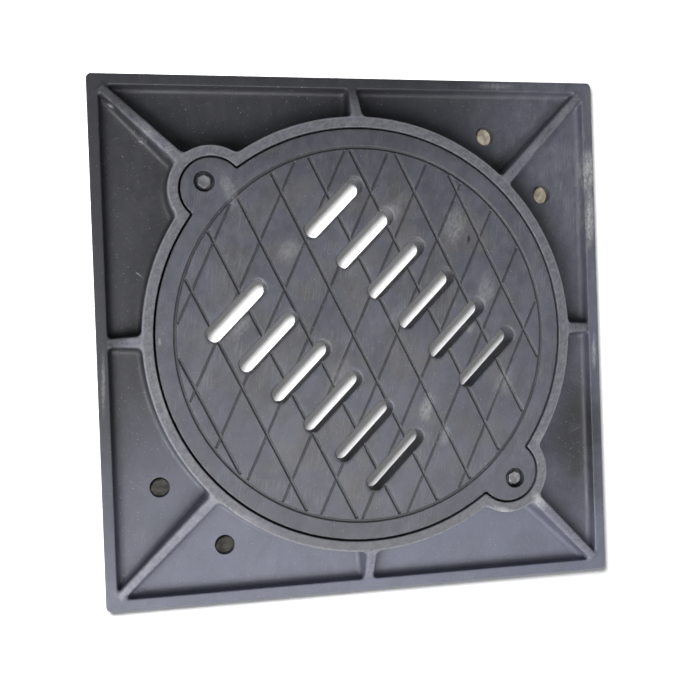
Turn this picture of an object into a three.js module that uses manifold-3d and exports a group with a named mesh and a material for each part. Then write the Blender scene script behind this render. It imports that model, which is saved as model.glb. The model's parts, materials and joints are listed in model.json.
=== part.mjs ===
// Lockable round access cover in a square frame, for a chamber with a 600 mm clear opening.
// Units are millimetres, +Z up. The origin is the centre of the frame's flat underside.
import * as THREE from 'three';
import { mergeVertices } from 'three/addons/utils/BufferGeometryUtils.js';
import Module from 'manifold-3d';

const wasm = await Module();
wasm.setup();

// ---------------------------------------------------------------- driving dimensions
const SIDE = 800; // outer side of the square frame
const CLEAR_RADIUS = 300; // the opening that a person goes through
const HEIGHT = 70; // underside of the frame to the top of the lid
const GAP = 0.3; // between pieces that touch

const FLOOR_TOP = 18; // top of the flange plate
const RIM_TOP = 36;
const RIM_WIDTH = 17;
const RIM_DRAFT = 4; // how far the rim's inner face leans out from its foot to its top
const CORNER_RADIUS = 8;

const SEAT_RADIUS = 316; // bore of the ring round the lid
const SEAT_TOP = 22; // ledge that carries the gasket
const RING_RADIUS = 332; // outside of the ring at its top
const RING_DRAFT = 4;

const RIB_TOP_WIDTH = 15; // ribs of the flange
const RIB_FOOT_WIDTH = 23;
const RIB_START_TOP = HEIGHT - 1;
const RIB_END_TOP = RIM_TOP - 0.5;
const RIB_OVERLAP = 8; // how far a rib runs into the ring, the lobe or the rim

const LID_CLEARANCE = 3; // between the lid's edge and the ring
const LID_RADIUS = SEAT_RADIUS - LID_CLEARANCE;
const LID_BOTTOM = 25;
const LID_PLATE = 12; // thickness over the pockets of the underside
const LID_WALL = 24; // width of the lid's outer wall

const EAR_ANGLES = [135, 315].map(THREE.MathUtils.degToRad); // the two bolt ears
const EAR_CENTRE = 315; // from the lid's centre to the centre of the ear's arc
const EAR_POCKET_RADIUS = 49.5; // pocket in the frame round an ear
const EAR_RADIUS = EAR_POCKET_RADIUS - LID_CLEARANCE;
const LOBE_RADIUS = 65; // outside of the frame's lobe round the pocket
const EAR_BOTTOM = 36;
const BOSS_TOP = EAR_BOTTOM - 2 * GAP;

const BOLT_CENTRE = 331; // from the lid's centre to a bolt
const BOLT_RADIUS = 6; // M12
const BOLT_CHAMFER = 1;
const BOLT_LENGTH = 45;
const HEAD_ACROSS_FLATS = 18;
const HEAD_HEIGHT = 7.5;
const COUNTERBORE_RADIUS = 15.5;
const COUNTERBORE_FLOOR = 54;
const SLEEVE_RADIUS = 9; // compression sleeve in the ear, and insert in the boss
const SLEEVE_BORE = 6.8;
const INSERT_BOTTOM = 14;
const DRAIN_RADIUS = 5; // lets water out of the bolt's hole
const WASHER_RADIUS = 12;
const WASHER_THICKNESS = 2.5;
const WASHER_BORE = 6.5;
const SPRING_WASHER_RADIUS = 10.3;
const SPRING_WASHER_THICKNESS = 3;
const SPRING_WASHER_SPLIT = 2.4;

const BORDER_RADIUS = 285; // groove round the patterned field
const BORDER_WIDTH = 5;
const BORDER_DEPTH = 2.5;
const DIAMOND_ANGLE = THREE.MathUtils.degToRad(25.4); // of each groove family, from +Y
const DIAMOND_PITCH = 62;
const DIAMOND_OFFSET = 16; // of each family's middle groove from the lid's centre
const DIAMOND_LINES = 9; // in each family
const DIAMOND_WIDTH = 3.4;
const DIAMOND_DEPTH = 2;

const SLOT_ANGLE = Math.PI / 4; // the slots run this way, and the rows run across it
const SLOT_LENGTH = 118;
const SLOT_WIDTH = 26;
const SLOT_PITCH = 66.6;
const SLOTS_PER_ROW = 6;
const ROW_OFFSET = 107.8; // from the lid's centre to the middle of each row

const UNDER_RIB_WIDTH = 18; // ribs of the lid's underside
const END_RIB_PITCH = 72; // of the short ribs beyond the outermost long rods
const SLOT_WALL = 12; // solid material kept past each end of a slot
const ROD_RADIUS = 4; // steel rods inside the lid
const ROD_Z = 33;
const CROSS_ROD_Z = ROD_Z + 2 * ROD_RADIUS + GAP;
const HOOP_RADIUS = 301;
const CROSS_RODS = [-177, 0, 177]; // places along the slots' direction
const ROD_END_ROOM = 2; // between a rod's end and the hoop
const CHANNEL_END = 3; // how far a rod's channel runs past each end of the rod
const PIN_RADIUS = 2.5; // holes left by the mould's locating pins

const ANCHOR_RADIUS = 15; // holes in the flange for ground anchors
const ANCHOR_CENTRE = 385.6;
const ANCHOR_SPREAD = THREE.MathUtils.degToRad(10); // of each hole from its corner's diagonal

const GASKET_INNER = 302;
const GASKET_OUTER = 313;

const LARGE_SEGMENTS = 72; // on circles about the lid's centre
const EAR_SEGMENTS = 36;
const SMALL_SEGMENTS = 20;
const ROD_SIDES = 6;
const PAST = 5; // how far a cutting shape runs past the face that it opens

// ---------------------------------------------------------------- shapes and booleans
function solid(geometry) {
  const plain = geometry.index ? geometry.toNonIndexed() : geometry.clone();
  plain.deleteAttribute('normal');
  plain.deleteAttribute('uv');
  const merged = mergeVertices(plain, 1e-4);
  return new wasm.Manifold(new wasm.Mesh({
    numProp: 3,
    vertProperties: new Float32Array(merged.attributes.position.array),
    triVerts: new Uint32Array(merged.index.array),
  }));
}

function drum(radius, bottom, top, segments = LARGE_SEGMENTS, bottomRadius = radius) {
  const geometry = new THREE.CylinderGeometry(radius, bottomRadius, top - bottom, segments);
  geometry.rotateX(Math.PI / 2);
  geometry.translate(0, 0, (top + bottom) / 2);
  return geometry;
}

function at(geometry, distance, angle) {
  return geometry.translate(distance * Math.cos(angle), distance * Math.sin(angle), 0);
}

function block(length, width, bottom, top) {
  const geometry = new THREE.BoxGeometry(length, width, top - bottom);
  return geometry.translate(0, 0, (top + bottom) / 2);
}

function tube(outer, inner, bottom, top, segments) {
  const bore = solid(drum(inner, bottom - PAST, top + PAST, segments));
  return solid(drum(outer, bottom, top, segments)).subtract(bore);
}

function joined(geometries) {
  return geometries.map(solid).reduce((whole, piece) => whole.add(piece));
}

// A stadium of the given overall length along X.
function stadium(length, width, bottom, top) {
  const radius = width / 2;
  const reach = length / 2 - radius;
  const outline = new THREE.Shape();
  outline.absarc(reach, 0, radius, -Math.PI / 2, Math.PI / 2);
  outline.absarc(-reach, 0, radius, Math.PI / 2, 1.5 * Math.PI);
  const options = { depth: top - bottom, bevelEnabled: false, curveSegments: 5 };
  return new THREE.ExtrudeGeometry(outline, options).translate(0, 0, bottom);
}

// ---------------------------------------------------------------- materials and meshes
const finish = (color, roughness, metalness = 0) => ({ color, roughness, metalness });
const COMPOSITE = finish(0x4b4d55, 0.6);
const RUBBER = finish(0x1b1b1d, 0.85);
const ZINC_STEEL = finish(0x7d7f84, 0.45, 1);
const STAINLESS = finish(0xb4b6b8, 0.35, 1);
const BRASS = finish(0xb08d4a, 0.4, 1);
const BLACK_STEEL = finish(0x4a4644, 0.7, 1);

const cover = new THREE.Group();

function addMesh(name, manifold, look) {
  const { vertProperties, triVerts } = manifold.getMesh();
  const geometry = new THREE.BufferGeometry();
  geometry.setAttribute('position', new THREE.BufferAttribute(vertProperties, 3));
  geometry.setIndex(new THREE.BufferAttribute(triVerts, 1));
  geometry.computeVertexNormals();
  const mesh = new THREE.Mesh(geometry, new THREE.MeshStandardMaterial(look));
  mesh.name = name;
  cover.add(mesh);
  return mesh;
}

// ---------------------------------------------------------------- frame
function flangeWithRim() {
  const half = SIDE / 2;
  const straight = half - CORNER_RADIUS;
  const outline = new THREE.Shape();
  outline.absarc(straight, straight, CORNER_RADIUS, 0, Math.PI / 2);
  outline.absarc(-straight, straight, CORNER_RADIUS, Math.PI / 2, Math.PI);
  outline.absarc(-straight, -straight, CORNER_RADIUS, Math.PI, 1.5 * Math.PI);
  outline.absarc(straight, -straight, CORNER_RADIUS, 1.5 * Math.PI, 2 * Math.PI);
  const options = { depth: RIM_TOP, bevelEnabled: false, curveSegments: 5 };
  const slab = solid(new THREE.ExtrudeGeometry(outline, options));

  // The tray inside the rim is a box whose sides lean out towards the top.
  const tray = block(2, 2, FLOOR_TOP, RIM_TOP + PAST);
  const corners = tray.attributes.position;
  const slope = RIM_DRAFT / (RIM_TOP - FLOOR_TOP);
  for (let i = 0; i < corners.count; i += 1) {
    const reach = half - RIM_WIDTH + slope * (corners.getZ(i) - RIM_TOP);
    corners.setX(i, corners.getX(i) * reach);
    corners.setY(i, corners.getY(i) * reach);
  }
  return slab.subtract(solid(tray));
}

// A rib along +X, turned to its angle. Its top falls from the ring to the rim, and it is wider at its foot.
function flangeRib(from, to, angle) {
  const geometry = new THREE.BoxGeometry(1, 1, 1);
  const corners = geometry.attributes.position;
  for (let i = 0; i < corners.count; i += 1) {
    const outer = corners.getX(i) > 0;
    const upper = corners.getZ(i) > 0;
    const top = outer ? RIB_END_TOP : RIB_START_TOP;
    corners.setX(i, outer ? to : from);
    corners.setY(i, corners.getY(i) * (upper ? RIB_TOP_WIDTH : RIB_FOOT_WIDTH));
    corners.setZ(i, upper ? top : FLOOR_TOP / 2);
  }
  return geometry.rotateZ(angle);
}

function makeFrame() {
  const half = SIDE / 2;
  const ring = drum(RING_RADIUS, 0, HEIGHT, LARGE_SEGMENTS, RING_RADIUS + RING_DRAFT);
  const raised = [ring];
  for (let eighth = 0; eighth < 8; eighth += 1) {
    const angle = (eighth * Math.PI) / 4;
    const toCorner = eighth % 2 === 1;
    const toEar = EAR_ANGLES.some((ear) => Math.abs(ear - angle) < 1e-6);
    const start = (toEar ? EAR_CENTRE + LOBE_RADIUS : RING_RADIUS) - RIB_OVERLAP;
    const rimInner = (half - RIM_WIDTH) * (toCorner ? Math.SQRT2 : 1);
    raised.push(flangeRib(start, rimInner + RIB_OVERLAP, angle));
  }
  for (const angle of EAR_ANGLES) {
    const lobe = drum(LOBE_RADIUS, 0, HEIGHT, EAR_SEGMENTS, LOBE_RADIUS + RING_DRAFT);
    raised.push(at(lobe, EAR_CENTRE, angle));
  }

  const cuts = [
    drum(CLEAR_RADIUS, -PAST, HEIGHT),
    drum(SEAT_RADIUS, SEAT_TOP, HEIGHT + PAST),
  ];
  const insertHole = SLEEVE_RADIUS + GAP;
  for (const angle of EAR_ANGLES) {
    cuts.push(at(drum(EAR_POCKET_RADIUS, BOSS_TOP, HEIGHT + PAST, EAR_SEGMENTS), EAR_CENTRE, angle));
    cuts.push(at(drum(insertHole, INSERT_BOTTOM, HEIGHT, SMALL_SEGMENTS), BOLT_CENTRE, angle));
    cuts.push(at(drum(DRAIN_RADIUS, -PAST, HEIGHT, SMALL_SEGMENTS), BOLT_CENTRE, angle));
  }
  for (const corner of [Math.PI / 4, 1.25 * Math.PI]) {
    for (const side of [-1, 1]) {
      const hole = drum(ANCHOR_RADIUS, -PAST, RIM_TOP, SMALL_SEGMENTS);
      cuts.push(at(hole, ANCHOR_CENTRE, corner + side * ANCHOR_SPREAD));
    }
  }
  return flangeWithRim().add(joined(raised)).subtract(joined(cuts));
}

// ---------------------------------------------------------------- steel rods inside the lid
// Each rod is a six-sided bar with a flat on top. `grown` makes the channel that holds it, which
// runs on past the rod's ends into the hoop's channel.
function rodLength(offset) {
  const inside = HOOP_RADIUS - ROD_RADIUS - ROD_END_ROOM;
  return 2 * Math.sqrt(inside ** 2 - (Math.abs(offset) + ROD_RADIUS) ** 2);
}

function bar(length, grown) {
  const radius = (ROD_RADIUS + grown) / Math.cos(Math.PI / ROD_SIDES);
  const pastEnds = grown > 0 ? 2 * CHANNEL_END : 0;
  const geometry = new THREE.CylinderGeometry(radius, radius, length + pastEnds, ROD_SIDES);
  return geometry.rotateY(Math.PI / ROD_SIDES).rotateZ(Math.PI / 2);
}

function longRod(offset, grown = 0) {
  return bar(rodLength(offset), grown).translate(0, offset, ROD_Z).rotateZ(SLOT_ANGLE);
}

function crossRod(offset, grown = 0) {
  const rod = bar(rodLength(offset), grown).rotateZ(Math.PI / 2);
  return rod.translate(offset, 0, CROSS_ROD_Z).rotateZ(SLOT_ANGLE);
}

function hoop(grown = 0) {
  const radius = (ROD_RADIUS + grown) / Math.cos(Math.PI / ROD_SIDES);
  const geometry = new THREE.TorusGeometry(HOOP_RADIUS, radius, ROD_SIDES, LARGE_SEGMENTS / 2);
  return geometry.translate(0, 0, ROD_Z);
}

const LONG_RODS = [-3, -2, -1, 0, 1, 2, 3].map((step) => step * SLOT_PITCH);

// ---------------------------------------------------------------- lid
// Pockets of the underside, in the slots' own axes: X along the slots, Y along the rows.
function underPockets() {
  const halfRib = UNDER_RIB_WIDTH / 2;
  const slotEnd = SLOT_LENGTH / 2;
  const innerBand = ROW_OFFSET - slotEnd - SLOT_WALL;
  const outerBand = CROSS_RODS[2] + halfRib;
  const edge = LID_RADIUS - LID_WALL;
  const boxes = [];
  const pocket = (x0, x1, y0, y1) => {
    const shape = block(x1 - x0, y1 - y0, LID_BOTTOM - PAST, HEIGHT - LID_PLATE);
    boxes.push(shape.translate((x0 + x1) / 2, (y0 + y1) / 2, 0));
  };
  for (const side of [-1, 1]) {
    for (let i = 0; i < LONG_RODS.length - 1; i += 1) {
      const y0 = LONG_RODS[i] + halfRib;
      const y1 = LONG_RODS[i + 1] - halfRib;
      pocket(...(side > 0 ? [halfRib, innerBand] : [-innerBand, -halfRib]), y0, y1);
      pocket(...(side > 0 ? [outerBand, edge] : [-edge, -outerBand]), y0, y1);
    }
    const wall = LONG_RODS[6] + halfRib;
    const [y0, y1] = side > 0 ? [wall, edge] : [-edge, -wall];
    for (const i of [-2, -1, 0, 1]) {
      pocket(i * END_RIB_PITCH + halfRib, (i + 1) * END_RIB_PITCH - halfRib, y0, y1);
    }
  }
  const wall = drum(edge, 0, HEIGHT, LARGE_SEGMENTS / 2);
  const turn = THREE.MathUtils.radToDeg(SLOT_ANGLE);
  return joined(boxes).intersect(solid(wall)).rotate([0, 0, turn]);
}

function makeLid() {
  const disc = drum(LID_RADIUS, LID_BOTTOM, HEIGHT);
  const ears = EAR_ANGLES.map((angle) =>
    at(drum(EAR_RADIUS, EAR_BOTTOM, HEIGHT, EAR_SEGMENTS), EAR_CENTRE, angle));

  const cuts = [];
  for (const angle of EAR_ANGLES) {
    const counterbore = drum(COUNTERBORE_RADIUS, COUNTERBORE_FLOOR, HEIGHT + PAST, SMALL_SEGMENTS);
    cuts.push(at(counterbore, BOLT_CENTRE, angle));
    cuts.push(at(drum(SLEEVE_RADIUS + GAP, 0, HEIGHT, SMALL_SEGMENTS), BOLT_CENTRE, angle));
  }
  for (const row of [-1, 1]) {
    for (let i = 0; i < SLOTS_PER_ROW; i += 1) {
      const along = (i - (SLOTS_PER_ROW - 1) / 2) * SLOT_PITCH;
      const slot = stadium(SLOT_LENGTH, SLOT_WIDTH, LID_BOTTOM - PAST, HEIGHT + PAST);
      cuts.push(slot.translate(row * ROW_OFFSET, along, 0).rotateZ(SLOT_ANGLE));
    }
  }
  // Grooves of the diamond pattern end in the border groove.
  for (const lean of [DIAMOND_ANGLE, -DIAMOND_ANGLE]) {
    for (let k = 0; k < DIAMOND_LINES; k += 1) {
      const step = k - (DIAMOND_LINES - 1) / 2;
      const offset = DIAMOND_OFFSET + DIAMOND_PITCH * step;
      const length = 2 * Math.sqrt(BORDER_RADIUS ** 2 - offset ** 2);
      const groove = block(DIAMOND_WIDTH, length, HEIGHT - DIAMOND_DEPTH, HEIGHT + PAST);
      cuts.push(groove.translate(-offset, 0, 0).rotateZ(lean));
    }
  }
  // Channels moulded round the rods, and the holes that the mould's locating pins leave under them.
  LONG_RODS.forEach((offset) => cuts.push(longRod(offset, GAP)));
  CROSS_RODS.forEach((offset) => cuts.push(crossRod(offset, GAP)));
  cuts.push(hoop(GAP));
  for (const x of [-1, 1]) {
    for (const y of [-1, 1]) {
      const pin = drum(PIN_RADIUS, LID_BOTTOM - PAST, ROD_Z, ROD_SIDES);
      cuts.push(pin.translate(x * CROSS_RODS[2], y * LONG_RODS[5], 0).rotateZ(SLOT_ANGLE));
    }
  }
  const halfBorder = BORDER_WIDTH / 2;
  const border = tube(
    BORDER_RADIUS + halfBorder,
    BORDER_RADIUS - halfBorder,
    HEIGHT - BORDER_DEPTH,
    HEIGHT + PAST,
    LARGE_SEGMENTS,
  );
  return joined([disc, ...ears]).subtract(joined(cuts)).subtract(underPockets()).subtract(border);
}

// ---------------------------------------------------------------- lock bolts and their fittings
const WASHER_BOTTOM = COUNTERBORE_FLOOR + GAP;
const SPRING_BOTTOM = WASHER_BOTTOM + WASHER_THICKNESS + GAP;
const HEAD_BOTTOM = SPRING_BOTTOM + SPRING_WASHER_THICKNESS + GAP;

function lockBolt() {
  const head = drum(HEAD_ACROSS_FLATS / Math.sqrt(3), HEAD_BOTTOM, HEAD_BOTTOM + HEAD_HEIGHT, 6);
  const tip = HEAD_BOTTOM - BOLT_LENGTH;
  const shoulder = tip + BOLT_CHAMFER;
  const shank = drum(BOLT_RADIUS, shoulder, HEAD_BOTTOM + PAST, SMALL_SEGMENTS);
  const pointRadius = BOLT_RADIUS - BOLT_CHAMFER;
  const point = drum(BOLT_RADIUS, tip, shoulder, SMALL_SEGMENTS, pointRadius);
  return joined([head, shank, point]);
}

// A spring washer is a ring with a split.
function springWasher() {
  const inner = BOLT_RADIUS + GAP;
  const outerHalf = Math.asin(SPRING_WASHER_SPLIT / 2 / SPRING_WASHER_RADIUS);
  const innerHalf = Math.asin(SPRING_WASHER_SPLIT / 2 / inner);
  const outline = new THREE.Shape();
  outline.absarc(0, 0, SPRING_WASHER_RADIUS, outerHalf, 2 * Math.PI - outerHalf);
  outline.absarc(0, 0, inner, 2 * Math.PI - innerHalf, innerHalf, true);
  const options = { depth: SPRING_WASHER_THICKNESS, bevelEnabled: false, curveSegments: 10 };
  return new THREE.ExtrudeGeometry(outline, options).translate(0, 0, SPRING_BOTTOM);
}

function addLock(number, angle) {
  const place = (mesh) => {
    mesh.position.set(BOLT_CENTRE * Math.cos(angle), BOLT_CENTRE * Math.sin(angle), 0);
  };
  const washer = tube(
    WASHER_RADIUS,
    WASHER_BORE,
    WASHER_BOTTOM,
    WASHER_BOTTOM + WASHER_THICKNESS,
    SMALL_SEGMENTS,
  );
  const sleeveTop = COUNTERBORE_FLOOR - GAP;
  const sleeve = tube(SLEEVE_RADIUS, SLEEVE_BORE, EAR_BOTTOM + GAP, sleeveTop, SMALL_SEGMENTS);
  const insertTop = BOSS_TOP - GAP;
  const insertBore = BOLT_RADIUS + GAP;
  const insert = tube(SLEEVE_RADIUS, insertBore, INSERT_BOTTOM + GAP, insertTop, SMALL_SEGMENTS);
  place(addMesh(`lock_bolt_${number}`, lockBolt(), ZINC_STEEL));
  place(addMesh(`spring_washer_${number}`, solid(springWasher()), ZINC_STEEL));
  place(addMesh(`flat_washer_${number}`, washer, ZINC_STEEL));
  place(addMesh(`bolt_sleeve_${number}`, sleeve, STAINLESS));
  place(addMesh(`thread_insert_${number}`, insert, BRASS));
}

// ---------------------------------------------------------------- assembly
addMesh('frame', makeFrame(), COMPOSITE);
const gasketTop = LID_BOTTOM - GAP;
const gasket = tube(GASKET_OUTER, GASKET_INNER, SEAT_TOP + GAP, gasketTop, LARGE_SEGMENTS);
addMesh('seat_gasket', gasket, RUBBER);
addMesh('lid', makeLid(), COMPOSITE);
LONG_RODS.forEach((offset, i) => addMesh(`long_rod_${i + 1}`, solid(longRod(offset)), BLACK_STEEL));
CROSS_RODS.forEach((offset, i) => addMesh(`cross_rod_${i + 1}`, solid(crossRod(offset)), BLACK_STEEL));
addMesh('rod_hoop', solid(hoop()), BLACK_STEEL);
EAR_ANGLES.forEach((angle, i) => addLock(i + 1, angle));

export default cover;
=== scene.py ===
"""Looks for a lockable composite access cover: a round slotted lid with two bolt ears in a square tray frame.

The big pieces are height fields. Plan lines are traced where the surface bends, triangulated together, and
lifted by one height function, so that each edge is a real rounding and each corner a real fillet.
Shapes are worked out in millimetres and become metres when a mesh is made.
"""

import json
import math

import bmesh
import bpy
import numpy as np
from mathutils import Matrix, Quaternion, Vector
from mathutils.geometry import delaunay_2d_cdt


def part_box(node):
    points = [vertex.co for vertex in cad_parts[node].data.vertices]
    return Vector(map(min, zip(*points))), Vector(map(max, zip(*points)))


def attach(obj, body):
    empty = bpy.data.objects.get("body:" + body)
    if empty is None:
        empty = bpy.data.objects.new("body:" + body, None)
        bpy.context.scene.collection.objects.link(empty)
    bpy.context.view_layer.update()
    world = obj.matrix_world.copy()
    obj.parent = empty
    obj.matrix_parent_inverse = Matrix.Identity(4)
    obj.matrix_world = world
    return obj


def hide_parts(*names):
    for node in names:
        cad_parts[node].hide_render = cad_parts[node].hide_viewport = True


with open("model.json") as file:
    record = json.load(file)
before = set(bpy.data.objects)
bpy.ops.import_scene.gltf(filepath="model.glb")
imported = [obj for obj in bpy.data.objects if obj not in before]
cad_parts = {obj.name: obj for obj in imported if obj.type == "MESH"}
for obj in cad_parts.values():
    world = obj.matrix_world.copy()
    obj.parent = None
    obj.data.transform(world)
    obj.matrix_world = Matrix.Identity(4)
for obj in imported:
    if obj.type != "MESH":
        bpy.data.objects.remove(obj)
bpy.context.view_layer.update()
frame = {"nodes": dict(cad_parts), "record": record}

MM = 0.001


def box_mm(node):
    """Lowest and highest corners of a CAD node, in millimetres."""
    low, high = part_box(node)
    return np.array(low) / MM, np.array(high) / MM


def centre_mm(node):
    """Middle of a CAD node's box, in millimetres."""
    low, high = box_mm(node)
    return (low + high) / 2


# ---------------------------------------------------------------- sizes from the frame
frame_high = box_mm("frame")[1]
lid_low, lid_high = box_mm("lid")
gasket_low, gasket_high = box_mm("seat_gasket")
sleeve_low, sleeve_high = box_mm("bolt_sleeve_1")
insert_low, insert_high = box_mm("thread_insert_1")
rod_low, rod_high = box_mm("long_rod_4")

GAP = 0.3  # between pieces that touch
TOP = lid_high[2]
HALF_SIDE = frame_high[0]
LID_RADIUS = lid_high[0]
LID_BOTTOM = lid_low[2]
LOCKS = [centre_mm(f"lock_bolt_{i}")[:2] for i in (1, 2)]
LOCK_WAYS = [place / np.hypot(*place) for place in LOCKS]  # unit vectors towards the ears
SLEEVE_HOLE = (sleeve_high[0] - sleeve_low[0]) / 2 + GAP
EAR_BOTTOM = sleeve_low[2] - GAP
COUNTERBORE_FLOOR = sleeve_high[2] + GAP
INSERT_FLOOR = insert_low[2] - GAP
BOSS_TOP = insert_high[2] + GAP

# ---------------------------------------------------------------- sizes that the frame doesn't give
CLEAR_RADIUS = 300
SEAT_RADIUS = LID_RADIUS + 3
SEAT_TOP = gasket_low[2] - GAP
RING_RADIUS = 332
RIM_WIDTH = 17
RIM_INNER = HALF_SIDE - RIM_WIDTH
RIM_TOP = 36
FLOOR = 18
CORNER_RADIUS = 8
DRAFT = 4 / 52  # plan run of a drafted wall for each millimetre of its height
LEAN = math.atan(DRAFT)

EAR_CENTRE = 315
EAR_POCKET = 49.5
EAR_RADIUS = EAR_POCKET - 3
LOBE_RADIUS = 65
EARS = [EAR_CENTRE * way for way in LOCK_WAYS]
COUNTERBORE = 15.5
DRAIN_RADIUS = 5
GASKET_INNER = 302
SPRING_RADIUS = 10.3
SPRING_THICKNESS = 2.45
SPRING_SPLIT = 2.4
WASHER_EDGE = 0.45
WASHER_RADIUS = 12
WASHER_BORE = 6.5
SLEEVE_BORE = 6.8
SLEEVE_EDGE = 0.5
BEAD_HEIGHT = 0.75

RIB_HALF_START = 8.2  # half the top width where a rib leaves the ring
RIB_HALF_END = 6.8
RIB_INSIDE = 40  # how far a rib runs on under the ring
ANCHOR_RADIUS = 15

LOBE_BLEND = 7  # fillets in plan, between the parts of one outline
RIB_BLEND = 9
RIM_BLEND = 8
POCKET_BLEND = 3.5
EAR_BLEND = 5
TOP_BLEND = 2.2  # how gradually one raised wall's height passes into the next one's

RING_EDGE = 2.2  # radius of the ring's outer top edge
RIB_EDGE = 4.2
FOOT_FILLET = 8
OUTER_EDGE = 2.2
BORE_EDGE = 1.4
LID_EDGE = 1.3
SMALL_EDGE = 0.8
UNDER_EDGE = 1.0

BORDER_RADIUS = 285
BORDER_HALF = 3.3
BORDER_DEPTH = 2.7
DIAMOND_ANGLE = math.radians(25.4)
DIAMOND_PITCH = 62
DIAMOND_OFFSET = 16
DIAMOND_LINES = 9
DIAMOND_END = BORDER_RADIUS - BORDER_HALF
DIAMOND_HALF = {1: 3.3, -1: 2.5}  # half width of the grooves that lean left and of those that lean right
DIAMOND_DEPTH = {1: 2.9, -1: 2.0}

SLOT_ANGLE = math.radians(45)
SLOT_LENGTH = 118
SLOT_WIDTH = 26
SLOT_PITCH = 66.6
SLOTS_PER_ROW = 6
ROW_OFFSET = 107.8
LIP_WIDTH = 4.5
LIP_DEPTH = 2.2

UNDER_RIB = 9  # half width of the ribs under the lid
UNDER_WALL = 24
UNDER_ROOF = TOP - 12
UNDER_CORNER = 5
UNDER_FILLET = 3
END_RIB_PITCH = 72
CROSS_ROD = 177
PIN_RADIUS = 2.5
PIN_ROOF = (rod_low[2] + rod_high[2]) / 2

ROUND_STEPS = [1 - math.sin(math.radians(turn)) for turn in (90, 60, 30, 0)]
EDGE_TURNS = [math.radians(turn) for turn in (0, 28, 56)] + [math.pi / 2 - LEAN]
FOOT_TURNS = [LEAN] + [math.radians(turn) for turn in (25, 46, 68, 90)]
WEAR_REACH = 3.5  # how far edge wear runs in from a rounded edge
DIRT_AND_SHADE_REACH = 6.5  # how far the dirt and painted shade run out over the floor from a fillet

TRACE_PITCH = 2.0
GRID_SHIFT = 0.0137  # keeps straight plan lines off the tracing grid's own points
CHORD = 0.025  # how far a traced line may cut inside its curve
LONGEST_CHORD = 14.0
ON_CIRCLE = 0.1  # how near a circle a point counts as on it


# ---------------------------------------------------------------- plan fields, all in millimetres
def smooth_min(a, b, blend):
    """The lesser of two distance fields, with a fillet where they meet."""
    shared = np.clip(blend - np.abs(a - b), 0, None)
    return np.minimum(a, b) - shared ** 2 / (4 * blend)


def disc(x, y, centre, radius):
    return np.hypot(x - centre[0], y - centre[1]) - radius


def inside_square(x, y, half, corner):
    """How far a point is inside a square with round corners."""
    past_x = np.abs(x) - (half - corner)
    past_y = np.abs(y) - (half - corner)
    outside = np.hypot(np.maximum(past_x, 0), np.maximum(past_y, 0))
    return corner - outside - np.minimum(np.maximum(past_x, past_y), 0)


def rounding(inside, width, depth=None):
    """Drop of a rounded edge at a distance in from the edge."""
    rest = np.clip(1 - inside / width, 0, 1)
    return (depth or width) * (1 - np.sqrt(1 - rest ** 2))


def shifted(field, distance):
    """A plan field that is zero where another one has the given value."""
    return lambda x, y: field(x, y) - distance


def locks(radius):
    """A plan field that is zero round both bolts."""
    return lambda x, y: to_locks(x, y, radius)


def turned(x, y, angle):
    """Coordinates along and across a direction."""
    return x * math.cos(angle) + y * math.sin(angle), y * math.cos(angle) - x * math.sin(angle)


def circle(centre, radius):
    """Closed plan line round a circle."""
    chord = min(2 * math.sqrt(2 * radius * CHORD), LONGEST_CHORD)
    count = max(16, math.ceil(2 * math.pi * radius / chord))
    angles = np.linspace(0, 2 * math.pi, count, endpoint=False)
    line = np.column_stack([centre[0] + radius * np.cos(angles), centre[1] + radius * np.sin(angles)])
    return np.concatenate([line, line[:1]])


# ---------------------------------------------------------------- tracing and triangulating
def snap(points, field):
    """Moves plan points onto field == 0."""
    step = 1e-3
    for _ in range(4):
        x, y = points.T
        value = field(x, y)
        slope = np.column_stack([
            field(x + step, y) - field(x - step, y),
            field(x, y + step) - field(x, y - step),
        ]) / (2 * step)
        size = np.maximum((slope ** 2).sum(1), 1e-6)
        move = slope * (value / size)[:, None]
        points = points - np.clip(move, -TRACE_PITCH / 2, TRACE_PITCH / 2)
    return points


def thinned(line):
    """Keeps as many points of a finely traced line as its curvature needs."""
    steps = np.diff(line, axis=0)
    lengths = np.hypot(*steps.T)
    line = line[np.r_[True, lengths > 1e-6]]
    steps = np.diff(line, axis=0)
    lengths = np.hypot(*steps.T)
    headings = np.unwrap(np.arctan2(steps[:, 1], steps[:, 0]))
    turns = np.abs(np.diff(headings, append=headings[-1]))
    bend = np.convolve(turns / lengths, np.ones(3) / 3, "same")
    density = np.sqrt(bend / (8 * CHORD)) + 1 / LONGEST_CHORD
    progress = np.r_[0, np.cumsum(density * lengths)]
    count = max(3, math.ceil(progress[-1]))
    wanted = np.linspace(0, progress[-1], count + 1)
    kept = np.unique(np.searchsorted(progress, wanted - 1e-9).clip(0, len(line) - 1))
    return line[kept]


def crossings(inside, i, j):
    """The grid edges of cell (i, j) that the line crosses."""
    corners = [(i, j), (i + 1, j), (i + 1, j + 1), (i, j + 1)]
    found = []
    for a, b in zip(corners, corners[1:] + corners[:1]):
        if inside[a] != inside[b]:
            found.append((min(a, b), max(a, b)))
    return found


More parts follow.
